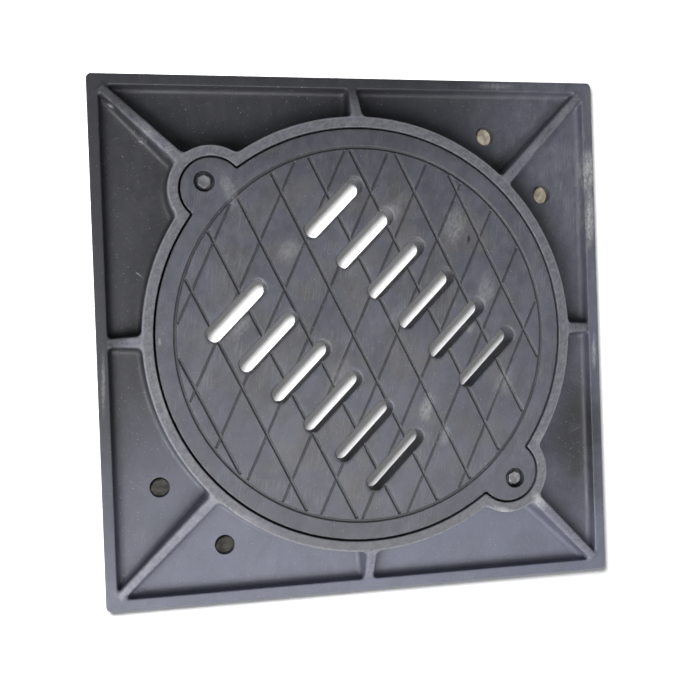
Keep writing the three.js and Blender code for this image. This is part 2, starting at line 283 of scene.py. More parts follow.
def trace(field, half=None, pitch=TRACE_PITCH):
    """Plan lines where field(x, y) is zero, inside a square about the origin."""
    half = half or HALF_SIDE + 3
    ticks = np.linspace(-half, half, 2 * round(half / pitch) + 1) + GRID_SHIFT
    x, y = np.meshgrid(ticks, ticks, indexing="ij")
    values = field(x, y)
    inside = values < 0
    mixed = inside[:-1, :-1].astype(int) + inside[1:, :-1] + inside[:-1, 1:] + inside[1:, 1:]
    links = {}
    for i, j in zip(*np.nonzero((mixed > 0) & (mixed < 4))):
        edges = crossings(inside, i, j)
        for a, b in zip(edges[::2], edges[1::2]):
            links.setdefault(a, []).append(b)
            links.setdefault(b, []).append(a)
    lines = []
    while links:
        ends = [edge for edge, others in links.items() if len(others) == 1]
        start = ends[0] if ends else next(iter(links))
        chain = [start]
        while True:
            others = links.get(chain[-1], [])
            if not others:
                break
            following = others.pop()
            links[following].remove(chain[-1])
            if not links[chain[-1]]:
                del links[chain[-1]]
            chain.append(following)
        links.pop(chain[-1], None)
        a = np.array([edge[0] for edge in chain])
        b = np.array([edge[1] for edge in chain])
        value_a = values[a[:, 0], a[:, 1]]
        share = (value_a / (value_a - values[b[:, 0], b[:, 1]]))[:, None]
        coarse = ticks[a] * (1 - share) + ticks[b] * share
        fine = snap(coarse, field)
        for _ in range(2):
            middles = (fine[:-1] + fine[1:]) / 2
            woven = np.empty((2 * len(fine) - 1, 2))
            woven[::2] = fine
            woven[1::2] = middles
            fine = snap(woven, field)
        lines.append(thinned(fine))
    return lines


def regions(triangles, fixed):
    """A label for each triangle, the same for all that no fixed edge parts."""
    parent = list(range(len(triangles)))

    def root(k):
        while parent[k] != k:
            parent[k] = parent[parent[k]]
            k = parent[k]
        return k

    owner = {}
    for k, (a, b, c) in enumerate(triangles):
        for edge in ((a, b), (b, c), (c, a)):
            edge = (min(edge), max(edge))
            if edge in fixed:
                continue
            if edge in owner:
                parent[root(k)] = root(owner[edge])
            else:
                owner[edge] = k
    return np.array([root(k) for k in range(len(triangles))])


def triangulate(lines, covers):
    """Triangles between plan lines. A region is kept if covers(x, y) is true in its largest triangle."""
    points = [Vector(point) for point in np.concatenate(lines)]
    starts = np.cumsum([0] + [len(line) for line in lines])
    edges = [(k, k + 1) for start, stop in zip(starts, starts[1:]) for k in range(start, stop - 1)]
    found = delaunay_2d_cdt(points, edges, [], 0, 1e-4, True)
    plan = np.array([tuple(point) for point in found[0]])
    triangles = np.array(found[2])
    fixed = {(min(edge), max(edge)) for edge, sources in zip(found[1], found[4]) if sources}
    labels = regions(found[2], fixed)
    a, b, c = (plan[triangles[:, k]] for k in range(3))
    area = np.abs((b - a)[:, 0] * (c - a)[:, 1] - (b - a)[:, 1] * (c - a)[:, 0])
    order = np.lexsort((-area, labels))
    first = np.r_[True, np.diff(labels[order]) != 0]
    largest = order[first]
    kept = labels[largest][covers(*((a + b + c)[largest] / 3).T)]
    return plan, triangles[np.isin(labels, kept)]


def borders(plan, triangles):
    """The plan segments that only one triangle uses."""
    shaded_sides = [triangles[:, pair] for pair in ([0, 1], [1, 2], [2, 0])]
    edges = np.sort(np.concatenate(shaded_sides), axis=1)
    single, counts = np.unique(edges, axis=0, return_counts=True)
    return plan[single[counts == 1]]


def along_line(segments, field, tolerance=0.05):
    """The segments whose ends lie on field == 0."""
    values = np.abs(field(segments[:, :, 0], segments[:, :, 1])).max(axis=1)
    return segments[values < tolerance]


class Shell:
    """Height fields and the upright walls between them, welded into one closed mesh."""

    def __init__(self):
        self.points = []
        self.faces = []
        self.count = 0

    def add(self, points, faces):
        self.points.append(points)
        self.faces.extend((np.asarray(faces) + self.count).tolist())
        self.count += len(points)

    def sheet(self, lines, covers, height):
        """Adds a height field and returns its border segments in plan."""
        plan, triangles = triangulate(lines, covers)
        self.add(np.column_stack([plan, height(*plan.T) + np.zeros(len(plan))]), triangles)
        return borders(plan, triangles)

    def wall(self, segments, upper, lower):
        """Adds upright faces over plan segments, from one height function to another."""
        a, b = segments[:, 0], segments[:, 1]
        rows = []
        for height, ends in ((upper, a), (upper, b), (lower, b), (lower, a)):
            rows.append(np.column_stack([ends, height(*ends.T) + np.zeros(len(ends))]))
        faces = np.arange(4 * len(segments)).reshape(4, -1).T
        self.add(np.concatenate(rows), faces)

    def piece(self, name, **marks):
        return make_piece(name, np.concatenate(self.points), self.faces, **marks)


def level(z):
    """A height function that is the same everywhere."""
    return lambda x, y: np.full(np.shape(x), float(z))


# ---------------------------------------------------------------- meshes
def make_piece(name, points, faces, weld=0.004, sharp=50, **marks):
    """One closed mesh from millimetre points. Each mark, a function of x, y and z, becomes an attribute."""
    mesh = bpy.data.meshes.new(name)
    mesh.from_pydata((np.asarray(points) * MM).tolist(), [], [list(face) for face in faces])
    work = bmesh.new()
    work.from_mesh(mesh)
    bmesh.ops.remove_doubles(work, verts=work.verts, dist=weld * MM)
    bmesh.ops.recalc_face_normals(work, faces=work.faces)
    open_count = sum(len(edge.link_faces) != 2 for edge in work.edges)
    if open_count:
        raise RuntimeError(f"{name} has {open_count} edges that aren't closed")
    work.to_mesh(mesh)
    work.free()
    mesh.shade_smooth()
    mesh.set_sharp_from_angle(angle=math.radians(sharp))
    places = np.empty(len(mesh.vertices) * 3, np.float32)
    mesh.vertices.foreach_get("co", places)
    for mark, shade in marks.items():
        values = shade(*(places.reshape(-1, 3).T / MM)).astype(np.float32)
        mesh.attributes.new(mark, "FLOAT", "POINT").data.foreach_set("value", values)
    piece = bpy.data.objects.new(name, mesh)
    bpy.context.scene.collection.objects.link(piece)
    weighted = piece.modifiers.new("weighted_normals", "WEIGHTED_NORMAL")
    weighted.keep_sharp = True
    weighted.weight = 60
    return piece


def fit(piece, body, slot, material, *nodes):
    """Hangs a piece on its body in place of the CAD nodes that it stands for."""
    piece.data.materials.append(material)
    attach(piece, body)
    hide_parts(*nodes)
    return piece


# ---------------------------------------------------------------- frame
def flange_ribs():
    """Direction, start and end of each of the eight ribs, measured from the middle."""
    ribs = []
    for eighth in range(8):
        angle = eighth * math.pi / 4
        way = np.array([math.cos(angle), math.sin(angle)])
        to_ear = max(way @ lock for lock in LOCK_WAYS) > 0.99
        start = EAR_CENTRE + LOBE_RADIUS if to_ear else RING_RADIUS
        end = RIM_INNER * (math.sqrt(2) if eighth % 2 else 1)
        ribs.append((angle, start, end))
    return ribs


RIBS = flange_ribs()


def raised(x, y):
    """Plan distance from the tops of the raised walls, the height of those tops, and their edge radius."""
    ring = np.hypot(x, y) - RING_RADIUS
    for ear in EARS:
        ring = smooth_min(ring, disc(x, y, ear, LOBE_RADIUS), LOBE_BLEND)
    rib = np.full(np.shape(x), 1e3)
    rib_top = np.full(np.shape(x), float(RIM_TOP))
    for angle, start, end in RIBS:
        along, across = turned(x, y, angle)
        fall = np.clip((along - start) / (end - start), 0, 1)
        half = RIB_HALF_START + (RIB_HALF_END - RIB_HALF_START) * fall
        distance = np.maximum(np.abs(across) - half, start - RIB_INSIDE - along)
        nearer = distance < rib
        rib = np.where(nearer, distance, rib)
        rib_top = np.where(nearer, TOP + (RIM_TOP - TOP) * fall, rib_top)
    rim = RIM_INNER - np.maximum(np.abs(x), np.abs(y))
    distance = smooth_min(smooth_min(ring, rib, RIB_BLEND), rim, RIM_BLEND)
    parts = ((ring, TOP, RING_EDGE), (rib, rib_top, RIB_EDGE), (rim, RIM_TOP, OUTER_EDGE))
    total = top = edge = 0
    for part, part_top, part_edge in parts:
        weight = np.exp(-(np.clip(part, -30, 30) - np.clip(distance, -30, 30)) / TOP_BLEND)
        total = total + weight
        top = top + weight * part_top
        edge = edge + weight * part_edge
    return distance, top / total, edge / total


def edge_run(edge):
    """Where an edge's rounding is centred, as plan distance from the sharp corner."""
    return edge * ((1 - math.sin(LEAN)) * DRAFT - math.cos(LEAN))


def foot_run(top):
    """Where a foot fillet meets the floor, as plan distance from the wall's sharp top corner."""
    return (top - FLOOR - FOOT_FILLET * (1 - math.sin(LEAN))) * DRAFT + FOOT_FILLET * math.cos(LEAN)


def edge_line(turn):
    """Field that is zero along one line of the rounded top edges."""
    def field(x, y):
        distance, top, edge = raised(x, y)
        return distance - edge_run(edge) - edge * math.sin(turn)
    return field


def foot_line(turn):
    """Field that is zero along one line of the foot fillets."""
    def field(x, y):
        distance, top, edge = raised(x, y)
        return distance - foot_run(top) + FOOT_FILLET * math.cos(turn)
    return field


def dirt_line(x, y):
    """Field that is zero where the dirt and painted shade at the walls' feet end."""
    distance, top, edge = raised(x, y)
    return distance - foot_run(top) - DIRT_AND_SHADE_REACH


def wear_line(x, y):
    """Field that is zero where the wear beside the walls' edges ends."""
    distance, top, edge = raised(x, y)
    return distance - edge_run(edge) + WEAR_REACH


def bore(x, y):
    """Plan distance outside the seat's bore and its two ear pockets."""
    void = np.hypot(x, y) - SEAT_RADIUS
    for ear in EARS:
        void = smooth_min(void, disc(x, y, ear, EAR_POCKET), POCKET_BLEND)
    return void


def outer_edge(x, y):
    return inside_square(x, y, HALF_SIDE, CORNER_RADIUS)


def anchor_places():
    """Middles of the anchor holes, from the openings that the record states."""
    places = []
    for opening in frame["record"]["physics"]["openings"]:
        if opening["name"].startswith("anchor_hole"):
            low, high = np.array(opening["box_m"]) / MM
            places.append(((low + high) / 2)[:2])
    return places


ANCHORS = anchor_places()


def to_anchors(x, y):
    return np.minimum.reduce([disc(x, y, place, ANCHOR_RADIUS) for place in ANCHORS])


def to_locks(x, y, radius):
    return np.minimum.reduce([disc(x, y, place, radius) for place in LOCKS])


def frame_top(x, y):
    """Height of the frame's upper surface."""
    distance, top, edge = raised(x, y)
    crown = distance - edge_run(edge)
    foot = distance - foot_run(top)
    rounded = top - edge + np.sqrt(np.clip(edge ** 2 - np.clip(crown, 0, None) ** 2, 0, None))
    hollow = FLOOR + FOOT_FILLET - np.sqrt(np.clip(FOOT_FILLET ** 2 - foot ** 2, 0, None))
    height = np.where(crown < edge * math.cos(LEAN), rounded, top - distance / DRAFT)
    height = np.where(foot > -FOOT_FILLET * math.cos(LEAN), hollow, height)
    height = np.where(foot > 0, FLOOR, height)
    height = height - rounding(outer_edge(x, y), OUTER_EDGE)
    height = height - rounding(bore(x, y), BORE_EDGE)
    return height - rounding(to_anchors(x, y), SMALL_EDGE)


def rib_stations():
    """Short lines across each rib where its top bends, at its start and its end."""
    lines = []
    for angle, start, end in RIBS:
        way = np.array([math.cos(angle), math.sin(angle)])
        side = np.array([-way[1], way[0]])
        for place, spread, steps in (
            (start, RIB_HALF_START + 11, (-7, -4.5, -2.5, -0.5, 1.5, 4, 7)),
            (end, RIB_HALF_START + 4, (-9, -6, -3.5, -1.5, 0.5, 3)),
        ):
            for step in steps:
                middle = (place + step) * way
                lines.append(np.array([middle - spread * side, middle + spread * side]))
    return lines


def rings_about(places, radii):
    return [circle(place, radius) for place in places for radius in radii]


def step_arcs(segments, radius):
    """Arcs of the given circle across each ear, between the points where the outline leaves the circle."""
    off = np.abs(np.hypot(segments[:, :, 0], segments[:, :, 1]) - radius) >= ON_CIRCLE
    leaving = segments[off.any(axis=1) & ~off.all(axis=1)]
    ends = np.array([pair[np.argmin(np.abs(np.hypot(*pair.T) - radius))] for pair in leaving])
    arcs = []
    for way in LOCK_WAYS:
        near = ends[ends @ way > 0]
        angles = np.arctan2(near @ np.array([-way[1], way[0]]), near @ way)
        first, last = near[angles.argmin()], near[angles.argmax()]
        middle = math.atan2(way[1], way[0])
        count = math.ceil((angles.max() - angles.min()) * radius / 3)
        turns = middle + np.linspace(angles.min(), angles.max(), count + 1)
        arc = radius * np.column_stack([np.cos(turns), np.sin(turns)])
        arc[0], arc[-1] = first, last
        arcs.append(arc)
    return arcs


def frame_wear(x, y, z):
    """1 on the rounded edges of the raised walls and of the rim, falling to 0 on the flats beside them."""
    distance, top, edge = raised(x, y)
    crown = distance - edge_run(edge)
    worn = np.where(crown < 0, 1 + crown / WEAR_REACH, 1 - (top - z) / 14)
    outward = outer_edge(x, y)
    worn = np.where(outward < OUTER_EDGE, np.maximum(worn, outward / OUTER_EDGE), worn) * (outward > 0.05)
    worn = np.where(bore(x, y) < WEAR_REACH, np.maximum(worn, 0.6 * (1 - bore(x, y) / WEAR_REACH)), worn)
    on_rib = np.clip((edge - OUTER_EDGE) / (RIB_EDGE - OUTER_EDGE), 0, 1)
    worn = np.maximum(worn, 0.85 * on_rib * (crown < 0))
    share = np.maximum(0.3 + 0.7 * np.clip((top - 60) / 9, 0, 1), 0.9 * on_rib)
    return np.clip(worn, 0, 1) * share * (z > FLOOR + 1) * (bore(x, y) > -0.05)


def frame_dirt(x, y, z):
    """Dirt and painted shade: 1 in the corner at the foot of the raised walls, falling to 0 over the floor.
    """
    distance, top, edge = raised(x, y)
    away = np.abs(distance - foot_run(top))
    return np.clip(1 - away / DIRT_AND_SHADE_REACH, 0, 1) * (z < FLOOR + 8) * (z > FLOOR - 1)


def make_frame(material):
    shell = Shell()
    origin = (0, 0)
    lines = rib_stations()
    for turn in EDGE_TURNS:
        lines += trace(edge_line(turn))
    for turn in FOOT_TURNS:
        lines += trace(foot_line(turn))
    lines += trace(wear_line) + trace(dirt_line)
    for step in ROUND_STEPS:
        lines += trace(shifted(outer_edge, step * OUTER_EDGE))
        lines += trace(shifted(bore, step * BORE_EDGE))
        lines += rings_about(ANCHORS, [ANCHOR_RADIUS + step * SMALL_EDGE])

    def on_top(x, y):
        return (bore(x, y) > 0) & (outer_edge(x, y) > 0) & (to_anchors(x, y) > 0)

    top_border = shell.sheet(lines, on_top, frame_top)
    seat_outline = along_line(top_border, bore)
    outline = along_line(top_border, outer_edge)
    anchor_outline = along_line(top_border, to_anchors)

    # Floors of the ear pockets, with the holes for the threaded inserts.
    def in_pocket(x, y):
        off_ledge = np.hypot(x, y) > SEAT_RADIUS + ON_CIRCLE
        return (bore(x, y) < 0) & off_ledge & (to_locks(x, y, SLEEVE_HOLE) > 0)

    def pocket_floor(x, y):
        return BOSS_TOP - rounding(to_locks(x, y, SLEEVE_HOLE), SMALL_EDGE)

    lines = list(seat_outline) + step_arcs(seat_outline, SEAT_RADIUS)
    lines += rings_about(LOCKS, [SLEEVE_HOLE + step * SMALL_EDGE for step in ROUND_STEPS])
    pocket_border = shell.sheet(lines, in_pocket, pocket_floor)
    insert_outline = along_line(pocket_border, locks(SLEEVE_HOLE))
    seat_circle = np.concatenate([
        along_line(border, shifted(np.hypot, SEAT_RADIUS), ON_CIRCLE)
        for border in (seat_outline, pocket_border)
    ])
    shell.wall(seat_outline, frame_top, level(BOSS_TOP))
    shell.wall(seat_circle, level(BOSS_TOP), level(SEAT_TOP))

    # Ledge under the lid, and the clear opening.
    def ledge(x, y):
        return SEAT_TOP - rounding(np.hypot(x, y) - CLEAR_RADIUS, BORE_EDGE)

    def on_ledge(x, y):
        distance = np.hypot(x, y)
        return (distance > CLEAR_RADIUS) & (distance < SEAT_RADIUS - ON_CIRCLE)

    lines = list(seat_circle)
    lines += rings_about([origin], [CLEAR_RADIUS + step * BORE_EDGE for step in ROUND_STEPS])
    ledge_border = shell.sheet(lines, on_ledge, ledge)
    clear_outline = along_line(ledge_border, shifted(np.hypot, CLEAR_RADIUS))

    # Seats of the inserts, and their drains.
    def in_insert(x, y):
        return (to_locks(x, y, SLEEVE_HOLE) < 0) & (to_locks(x, y, DRAIN_RADIUS) > 0)

    lines = list(insert_outline) + rings_about(LOCKS, [DRAIN_RADIUS])
    insert_border = shell.sheet(lines, in_insert, level(INSERT_FLOOR))
    drain_outline = along_line(insert_border, locks(DRAIN_RADIUS))
    shell.wall(insert_outline, pocket_floor, level(INSERT_FLOOR))

    # Underside.
    def to_under_edge(x, y):
        holes = np.minimum(to_anchors(x, y), to_locks(x, y, DRAIN_RADIUS))
        return np.minimum.reduce([outer_edge(x, y), np.hypot(x, y) - CLEAR_RADIUS, holes])

    def underside(x, y):
        return rounding(to_under_edge(x, y), UNDER_EDGE)

    lines = [*outline, *anchor_outline, *clear_outline, *drain_outline]
    for step in ROUND_STEPS[1:]:
        inset = step * UNDER_EDGE
        lines += trace(shifted(outer_edge, inset))
        lines += [circle(origin, CLEAR_RADIUS + inset)]
        lines += rings_about(ANCHORS, [ANCHOR_RADIUS + inset])
        lines += rings_about(LOCKS, [DRAIN_RADIUS + inset])
    shell.sheet(lines, lambda x, y: to_under_edge(x, y) > 0, underside)
    shell.wall(outline, frame_top, underside)
    shell.wall(anchor_outline, frame_top, underside)
    shell.wall(clear_outline, ledge, underside)
    shell.wall(drain_outline, level(INSERT_FLOOR), underside)
    piece = shell.piece("tray_frame", wear=frame_wear, dirt=frame_dirt)
    return fit(piece, "frame", "frame_composite", material, "frame")


# ---------------------------------------------------------------- lid
def lid_edge(x, y):
    """Plan distance outside the lid's disc and its two ears."""
    solid = np.hypot(x, y) - LID_RADIUS
    for ear in EARS:
        solid = smooth_min(solid, disc(x, y, ear, EAR_RADIUS), EAR_BLEND)
    return solid


def to_slots(x, y):
    """Plan distance outside the nearest slot."""
    along, across = turned(x, y, SLOT_ANGLE)
    along = np.abs(along) - ROW_OFFSET
    nearest = np.clip(np.round(across / SLOT_PITCH - 0.5), -SLOTS_PER_ROW / 2, SLOTS_PER_ROW / 2 - 1) + 0.5
    straight = (SLOT_LENGTH - SLOT_WIDTH) / 2
    past_end = np.maximum(np.abs(along) - straight, 0)
    return np.hypot(past_end, across - nearest * SLOT_PITCH) - SLOT_WIDTH / 2


def diamond_grooves():
    """Lean, offset from the middle and half length of each groove of the tread pattern."""
    grooves = []
    for lean in (1, -1):
        for k in range(DIAMOND_LINES):
            offset = DIAMOND_OFFSET + DIAMOND_PITCH * (k - (DIAMOND_LINES - 1) / 2)
            grooves.append((lean, offset, math.sqrt(DIAMOND_END ** 2 - offset ** 2)))
    return grooves


GROOVE_SHARES = (0, 1 / 3, 2 / 3, 1)  # places of the traced lines between a groove's flat bottom and its edge
GROOVE_FLAT = 0.25  # share of a groove's half width that is flat


def groove_drop(distance, half, depth):
    """Depth of a groove at a distance from its middle line."""
    flat = GROOVE_FLAT * half
    share = np.clip((distance - flat) / (half - flat), 0, 1)
    return depth * (1 + np.cos(math.pi * share)) / 2


def groove_offsets(half):
    flat = GROOVE_FLAT * half
    return [flat + share * (half - flat) for share in GROOVE_SHARES]


def tread_drop(x, y):
    """Depth of the border groove and of the tread pattern."""
    drop = groove_drop(np.abs(np.hypot(x, y) - BORDER_RADIUS), BORDER_HALF, BORDER_DEPTH)
    for lean, offset, reach in diamond_grooves():
        across, along = turned(x, y, lean * DIAMOND_ANGLE)
        distance = np.maximum(np.abs(across + offset), np.abs(along) - reach + DIAMOND_HALF[lean])
        drop = np.maximum(drop, groove_drop(distance, DIAMOND_HALF[lean], DIAMOND_DEPTH[lean]))
    return drop


def lid_top(x, y):
    """Height of the lid's upper surface."""
    drop = np.maximum(tread_drop(x, y), rounding(to_slots(x, y), LIP_WIDTH, LIP_DEPTH))
    drop = np.maximum(drop, rounding(to_locks(x, y, COUNTERBORE), SMALL_EDGE))
    return TOP - np.maximum(drop, rounding(-lid_edge(x, y), LID_EDGE))


def groove_lines():
    """Closed lines round each groove of the tread pattern, one for each place in its section."""
    lines = []
    for lean, offset, reach in diamond_grooves():
        angle = lean * DIAMOND_ANGLE
        for half in groove_offsets(DIAMOND_HALF[lean]):
            end = reach - DIAMOND_HALF[lean] + half
            corners = np.array([(-half, -end), (half, -end), (half, end), (-half, end), (-half, -end)])
            lines.append(np.column_stack(turned(*(corners - (offset, 0)).T, -angle)))
    return lines


def under_pockets():
    """Boxes of the pockets in one quarter of the underside, in the slots' own axes: (x0, x1, y0, y1)."""
    inner = ROW_OFFSET - SLOT_LENGTH / 2 - 12
    outer = CROSS_ROD + UNDER_RIB
    edge = LID_RADIUS - UNDER_WALL
    boxes = []
    for k in range(3):
        for x0, x1 in ((UNDER_RIB, inner), (outer, edge)):
            boxes.append((x0, x1, k * SLOT_PITCH + UNDER_RIB, (k + 1) * SLOT_PITCH - UNDER_RIB))
    for k in range(2):
        x0, x1 = k * END_RIB_PITCH + UNDER_RIB, (k + 1) * END_RIB_PITCH - UNDER_RIB
        boxes.append((x0, x1, 3 * SLOT_PITCH + UNDER_RIB, edge))
    return boxes


def to_pockets(x, y):
    """Plan distance outside the mouths of the pockets under the lid."""
    u, v = np.abs(turned(x, y, SLOT_ANGLE))
    wall = np.hypot(x, y) - (LID_RADIUS - UNDER_WALL)
    nearest = np.full(np.shape(x), 1e3)
    for x0, x1, y0, y1 in under_pockets():
        past_u = np.abs(u - (x0 + x1) / 2) - (x1 - x0) / 2 + UNDER_CORNER
        past_v = np.abs(v - (y0 + y1) / 2) - (y1 - y0) / 2 + UNDER_CORNER
        outside = np.hypot(np.maximum(past_u, 0), np.maximum(past_v, 0))
        box = outside + np.minimum(np.maximum(past_u, past_v), 0) - UNDER_CORNER
        pocket = -smooth_min(-box, -wall, UNDER_CORNER)
        nearest = np.minimum(nearest, pocket)
    return nearest


POCKET_RISE = UNDER_ROOF - LID_BOTTOM
POCKET_FOOT = -(POCKET_RISE - UNDER_FILLET * (1 - math.sin(LEAN))) * DRAFT / 2 - UNDER_FILLET * math.cos(LEAN)
PINS = [turned(x * CROSS_ROD, y * 2 * SLOT_PITCH, -SLOT_ANGLE) for x in (-1, 1) for y in (-1, 1)]


def to_pins(x, y):
    return np.minimum.reduce([disc(x, y, place, PIN_RADIUS) for place in PINS])


def lid_under(x, y):
    """Height of the underside of the lid's disc."""
    pocket = to_pockets(x, y)
    foot = pocket - POCKET_FOOT
    wall = LID_BOTTOM - pocket / (DRAFT / 2)
    round_part = np.sqrt(np.clip(UNDER_FILLET ** 2 - np.clip(foot, 0, None) ** 2, 0, None))
    roof = UNDER_ROOF - UNDER_FILLET + round_part
    inside = np.where(foot < UNDER_FILLET * math.cos(LEAN), roof, wall)
    inside = np.where(pocket > 0, LID_BOTTOM, inside)
    to_mouth = np.where(pocket > 0, pocket, 1e3)
    edges = np.minimum.reduce([LID_RADIUS - np.hypot(x, y), to_slots(x, y), to_mouth])
    return np.maximum(inside, LID_BOTTOM + rounding(edges, UNDER_EDGE) * (pocket > 0))


def lid_dirt(x, y, z):
    """Dirt and painted shade: 1 at the bottom of the tread pattern's grooves, and some along the lid's edge.
    """
    along_edge = 0.6 * np.clip(1 + lid_edge(x, y) / WEAR_REACH, 0, 1)
    return np.clip(np.maximum(tread_drop(x, y) / DIAMOND_DEPTH[-1], along_edge), 0, 1) * (z > TOP - 3)


def lid_wear(x, y, z):
    """1 on the rounded edges of the lid's top, falling to 0 beside them."""
    edge = 0.2 * (1 + lid_edge(x, y) / WEAR_REACH)
    lip = 0.8 * (1 - to_slots(x, y) / (LIP_WIDTH + WEAR_REACH))
    bore_edge = 0.4 * (1 - to_locks(x, y, COUNTERBORE) / WEAR_REACH)
    return np.clip(np.maximum.reduce([edge, lip, bore_edge]), 0, 1) * (z > TOP - 3)


def make_lid(material):
    shell = Shell()
    origin = (0, 0)
    lines = groove_lines()
    for offset in groove_offsets(BORDER_HALF):
        lines += [circle(origin, BORDER_RADIUS + offset), circle(origin, BORDER_RADIUS - offset)]
    for step in ROUND_STEPS:
        lines += trace(shifted(lid_edge, -step * LID_EDGE))
        lines += trace(shifted(to_slots, step * LIP_WIDTH))
        lines += rings_about(LOCKS, [COUNTERBORE + step * SMALL_EDGE])
    lines += trace(shifted(lid_edge, -WEAR_REACH))
    lines += trace(shifted(to_slots, LIP_WIDTH + WEAR_REACH))

    def on_top(x, y):
        return (lid_edge(x, y) < 0) & (to_slots(x, y) > 0) & (to_locks(x, y, COUNTERBORE) > 0)

    top_border = shell.sheet(lines, on_top, lid_top)
    outline = along_line(top_border, lid_edge)
    slot_outline = along_line(top_border, to_slots)
    bore_outline = along_line(top_border, locks(COUNTERBORE))

    # Floors of the counterbores.
    lines = list(bore_outline) + rings_about(LOCKS, [SLEEVE_HOLE])

    def in_counterbore(x, y):
        return (to_locks(x, y, COUNTERBORE) < 0) & (to_locks(x, y, SLEEVE_HOLE) > 0)

    floor_border = shell.sheet(lines, in_counterbore, level(COUNTERBORE_FLOOR))
    hole_outline = along_line(floor_border, locks(SLEEVE_HOLE))
    shell.wall(bore_outline, lid_top, level(COUNTERBORE_FLOOR))

    # Undersides of the ears.
    def ear_under(x, y):
        return EAR_BOTTOM + rounding(np.minimum(-lid_edge(x, y), to_locks(x, y, SLEEVE_HOLE)), UNDER_EDGE)

    def on_ear(x, y):
        on_disc = np.hypot(x, y) <= LID_RADIUS + ON_CIRCLE
        return (lid_edge(x, y) < 0) & ~on_disc & (to_locks(x, y, SLEEVE_HOLE) > 0)

    lines = [*outline, *hole_outline, *step_arcs(outline, LID_RADIUS)]
    for step in ROUND_STEPS[1:]:
        lines += trace(shifted(lid_edge, -step * UNDER_EDGE))
        lines += rings_about(LOCKS, [SLEEVE_HOLE + step * UNDER_EDGE])
    ear_border = shell.sheet(lines, on_ear, ear_under)
    disc_outline = np.concatenate([
        along_line(border, shifted(np.hypot, LID_RADIUS), ON_CIRCLE)
        for border in (outline, ear_border)
    ])
    shell.wall(outline, lid_top, ear_under)
    shell.wall(hole_outline, level(COUNTERBORE_FLOOR), ear_under)

    # Underside of the disc, with its ribs and pockets.
    def on_disc(x, y):
        return (np.hypot(x, y) < LID_RADIUS - ON_CIRCLE) & (to_slots(x, y) > 0) & (to_pins(x, y) > 0)

    lines = [*disc_outline, *slot_outline, *rings_about(PINS, [PIN_RADIUS])]
    for step in ROUND_STEPS[1:]:
        lines += [circle(origin, LID_RADIUS - step * UNDER_EDGE)]
        lines += trace(shifted(to_slots, step * UNDER_EDGE))
        lines += trace(shifted(to_pockets, step * UNDER_EDGE), LID_RADIUS)
    lines += trace(shifted(to_pockets, -1e-3), LID_RADIUS)
    for turn in FOOT_TURNS:
        reach = UNDER_FILLET * math.cos(turn)
        lines += trace(shifted(to_pockets, POCKET_FOOT + reach), LID_RADIUS)
    under_border = shell.sheet(lines, on_disc, lid_under)
    pin_outline = along_line(under_border, to_pins)
    shell.wall(disc_outline, ear_under, lid_under)
    shell.wall(slot_outline, lid_top, lid_under)
    shell.sheet(list(pin_outline), lambda x, y: to_pins(x, y) < 0, level(PIN_ROOF))
    shell.wall(pin_outline, lid_under, level(PIN_ROOF))
    piece = shell.piece("slotted_lid", wear=lid_wear, dirt=lid_dirt)
    return fit(piece, "lid", "lid_composite", material, "lid")


# ---------------------------------------------------------------- turned pieces, bolts and rubber
THREAD_PITCH = 1.75
THREAD_ROWS = (1, 1, 0, 0)  # share of the thread's height at the four rows of each pitch
BOLT_SHANK = 6
BOLT_ROOT = 5.05
HEAD_ACROSS_FLATS = 18
HEAD_HEIGHT = 7.5
INSERT_CREST = BOLT_SHANK + GAP
INSERT_ROOT = INSERT_CREST + 0.75
COLUMNS = 48  # points round a bolt or an insert


def grid(rows, wrap_rows=False):
    """Points and faces of a grid, given as (row, column, xyz). Columns wrap round; open ends get a cap."""
    count, width = rows.shape[:2]
    index = np.arange(count * width).reshape(count, width)
    following = np.roll(index, -1, axis=0) if wrap_rows else index[1:]
    index = index if wrap_rows else index[:-1]
    faces = np.stack([index, np.roll(index, -1, axis=1), np.roll(following, -1, axis=1), following], axis=-1)
    faces = faces.reshape(-1, 4).tolist()
    if not wrap_rows:
        faces.append(list(range(width)))
        faces.append(list(range((count - 1) * width, count * width)))
    return rows.reshape(-1, 3), faces


def softened(corners, radius, steps=3):
    """A closed outline with its corners rounded."""
    corners = np.array(corners, float)
    points = []
    for before, corner, after in zip(np.roll(corners, 1, axis=0), corners, np.roll(corners, -1, axis=0)):
        start = corner + (before - corner) * radius / np.hypot(*(before - corner))
        end = corner + (after - corner) * radius / np.hypot(*(after - corner))
        for share in np.linspace(0, 1, steps + 1):
            rest = 1 - share
            points.append(rest ** 2 * start + 2 * share * rest * corner + share ** 2 * end)
    return np.array(points)


def round_angles(count):
    return np.linspace(0, 2 * math.pi, count, endpoint=False)


def polar(place, radius, angles, z):
    """Points at a radius and a height about a plan place, for each angle."""
    x = place[0] + radius * np.cos(angles)
    y = place[1] + radius * np.sin(angles)
    return np.stack(np.broadcast_arrays(x, y, z), axis=-1)


def ring_rows(section, count, place=(0, 0)):
    """Grid rows of a ring with the given (radius, z) section."""
    return polar(place, section[:, :1], round_angles(count), section[:, 1:])


def thread_rows(low, high, radius_at, place):
    """Grid rows of a helical thread from z low to z high. radius_at(share, z) gives the surface."""
    angles = round_angles(COLUMNS)
    count = 4 * math.ceil((high - low) / THREAD_PITCH) + 8
    rows = []
    for k in range(count):
        z = np.clip(low + (k / 4 - 1 + angles / (2 * math.pi)) * THREAD_PITCH, low, high)
        rows.append(polar(place, radius_at(THREAD_ROWS[k % 4], z), angles, z))
    return rows


